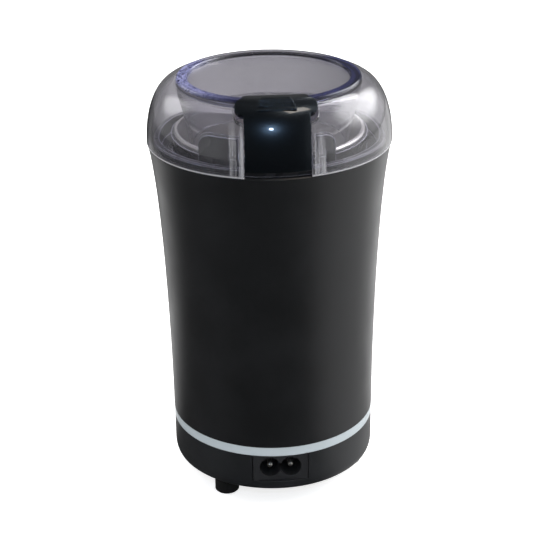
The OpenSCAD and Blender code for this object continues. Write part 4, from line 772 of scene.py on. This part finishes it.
streak_folds = add(tree, "ShaderNodeMath", {0: streak_noise, 1: STREAK_FOLDS}, operation="MULTIPLY")
streak_folds = add(tree, "ShaderNodeMath", {0: streak_folds, 1: FOLD_HEIGHT}, operation="PINGPONG")
lines = add(tree, "ShaderNodeMapRange",
            {"Value": streak_folds, "From Min": STREAK_FROM, "From Max": STREAK_TO})
lavender = add(tree, "ShaderNodeMix",
               {0: lines, 6: linear(LAVENDER_LINE), 7: linear(LAVENDER)}, data_type="RGBA")
shaded_side = add(tree, "ShaderNodeMapRange",
           {"Value": split["X"], "From Min": -RING_OUTER, "From Max": -RING_INNER / 3})
ring_reflection = add(tree, "ShaderNodeMix", {0: shaded_side, 6: lavender.outputs[2], 7: linear(NAVY)},
                data_type="RGBA")
tone = add(tree, "ShaderNodeMix", {0: ring, 6: linear(LID_WHITE), 7: ring_reflection.outputs[2]},
           data_type="RGBA")
tree.links.new(tone.outputs[2], shader.inputs["Base Color"])
# Painted reflection: the ring is clouded most on its lit left side, so that the painted lavender
# shows
cloud = add(tree, "ShaderNodeMapRange",
            {"Value": shaded_side, "To Min": LIT_SIDE_CLOUD, "To Max": SHADED_SIDE_CLOUD})
cloud = add(tree, "ShaderNodeMath", {0: cloud, 1: ring}, operation="MULTIPLY")

WALLS_MIDDLE, WALLS_HALF, WALLS_BACK = 15.5 * MM, 2.7 * MM, -42 * MM
WALLS_FADE, WALLS_TOP = 8 * MM, 171 * MM
UPRIGHT_FACE = 0.7
EDGE_Z, EDGE_RADIUS = 150.5 * MM, 48.2 * MM

# Guide walls and bottom edge come from cut steel, not polished, so they are frosted
width = add(tree, "ShaderNodeMath", {0: split["X"]}, operation="ABSOLUTE")
walls = add(tree, "ShaderNodeMath", {0: width, 1: WALLS_MIDDLE, 2: WALLS_HALF},
            operation="COMPARE")
front = add(tree, "ShaderNodeMath", {0: split["Y"], 1: WALLS_BACK}, operation="LESS_THAN")
below = add(tree, "ShaderNodeMapRange",
            {"Value": split["Z"], "From Min": WALLS_TOP - WALLS_FADE, "From Max": WALLS_TOP,
             "To Min": 1, "To Max": 0})
for mask in (front, below):
    walls = add(tree, "ShaderNodeMath", {0: walls, 1: mask}, operation="MULTIPLY")
facing = add(tree, "ShaderNodeNewGeometry").outputs["True Normal"]
facing = add(tree, "ShaderNodeSeparateXYZ", {0: facing}).outputs
flank = add(tree, "ShaderNodeMath", {0: facing["X"]}, operation="ABSOLUTE")
flank = add(tree, "ShaderNodeMath", {0: flank, 1: facing["Y"]}, operation="MAXIMUM")
flank = add(tree, "ShaderNodeMath", {0: flank, 1: UPRIGHT_FACE}, operation="GREATER_THAN")
frosted = add(tree, "ShaderNodeMath", {0: walls, 1: flank}, operation="MULTIPLY")
low_edge = add(tree, "ShaderNodeMapRange",
               {"Value": split["Z"], "From Min": EDGE_Z, "From Max": EDGE_Z + LID_BLUR,
                "To Min": 1, "To Max": 0})
outside = add(tree, "ShaderNodeMath", {0: radius, 1: EDGE_RADIUS}, operation="GREATER_THAN")
low_edge = add(tree, "ShaderNodeMath", {0: low_edge, 1: outside}, operation="MULTIPLY")
dull = add(tree, "ShaderNodeMath", {0: frosted, 1: low_edge}, operation="MAXIMUM")
rough = add(tree, "ShaderNodeMapRange", {"Value": dull, "To Min": POLISHED, "To Max": FROSTED})
tree.links.new(rough.outputs[0], shader.inputs["Roughness"])

SINK_SIZE, SINK_SHARE = 1.6 * MM, 0.5
SINK_FROM, SINK_TO = 0.42, 0.62
# Stretches the noise so that its lumps run as lines down the dome
DOWN_DOME = (1, 0, 0.03)
EDGE_SHARE, VEIL = 0.5, 0.65

# Sink lines down the dome, where the guide walls join it behind
upright = add(tree, "ShaderNodeVectorMath", {0: place, 1: DOWN_DOME}, operation="MULTIPLY")
sunk = add(tree, "ShaderNodeTexNoise",
           {"Vector": upright, "Scale": 1 / SINK_SIZE, "Detail": 1.0})
sunk = add(tree, "ShaderNodeMapRange",
           {"Value": sunk, "From Min": SINK_FROM, "From Max": SINK_TO,
            "To Min": 0, "To Max": SINK_SHARE})
sunk = add(tree, "ShaderNodeMath", {0: sunk, 1: walls}, operation="MULTIPLY")
veil = add(tree, "ShaderNodeMath", {0: low_edge, 1: EDGE_SHARE}, operation="MULTIPLY")
for mask in (frosted, sunk):
    veil = add(tree, "ShaderNodeMath", {0: veil, 1: mask}, operation="MAXIMUM")
veil = add(tree, "ShaderNodeMath", {0: veil, 1: VEIL}, operation="MULTIPLY")
clearness = LID_CLEARNESS
for mask in (cloud, veil):
    clearness = add(tree, "ShaderNodeMath", {0: clearness, 1: mask}, operation="SUBTRACT")
tree.links.new(clearness.outputs[0], shader.inputs["Transmission Weight"])

# The lid lets the lamps through, so that the inside isn't left in the dark
through = add(tree, "ShaderNodeBsdfTransparent", {"Color": linear(LID_SHADOW)})
shadow = add(tree, "ShaderNodeLightPath").outputs["Is Shadow Ray"]
mixed = add(tree, "ShaderNodeMixShader", {0: shadow, 1: shader, 2: through})
tint = add(tree, "ShaderNodeVolumeAbsorption",
           {"Color": linear(LID_TINT), "Density": LID_DENSITY})
add(tree, "ShaderNodeOutputMaterial", {"Surface": mixed, "Volume": tint})
dressed("lid", "lid_dome", clear, smooth=25)

# ---- Push button ----
# Gloss black ABS, moulded with its legs, presser and grip ribs, snapped into
# the lid on two small coil springs.

BUTTON_EDGE = 0.4 * MM
BUTTON_TURNS = 4.0
PEEL_SIZE, PEEL_DEPTH = 3 * MM, 0.004 * MM

# Mirror-polished tool: deep black with orange peel, 3 mm across and a few microns deep
gloss, tree, shader = coated("polished_button_abs", "#080a0c",
                             {"IOR": 1.53, "Roughness": 0.26, "Specular IOR Level": 0.6,
                              "Specular Tint": linear("#c8e0fa"), "Coat Weight": 0.8,
                              "Coat Roughness": 0.04})
place = add(tree, "ShaderNodeTexCoord").outputs["Object"]
peel = add(tree, "ShaderNodeTexNoise", {"Vector": place, "Scale": 1 / PEEL_SIZE, "Detail": 1.0})
rounded = add(tree, "ShaderNodeBevel", {"Radius": BUTTON_EDGE}, samples=4)
bump = add(tree, "ShaderNodeBump", {"Strength": 1.0, "Distance": PEEL_DEPTH, "Height": peel,
                                    "Normal": rounded})
tree.links.new(bump.outputs[0], shader.inputs["Normal"])
dressed("push_button", "button_cap", gloss, smooth=25)

spring_low, spring_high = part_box("button_springs")
spring_y = (spring_low.y + spring_high.y) / 2
coil_r = (spring_high.y - spring_low.y) / 2 - WIRE_R
spring_x = spring_high.x - coil_r - WIRE_R
button_coils = grown("button_spring_pair", coil_tree,
                     [(side * spring_x, spring_y, spring_low.z + WIRE_R) for side in (-1, 1)],
                     coil_radius=coil_r, wire_radius=WIRE_R,
                     length=spring_high.z - spring_low.z - 2 * WIRE_R,
                     turns=BUTTON_TURNS, steel=music_wire)
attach(button_coils, home["button_springs"])
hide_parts("button_springs")
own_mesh(button_coils)
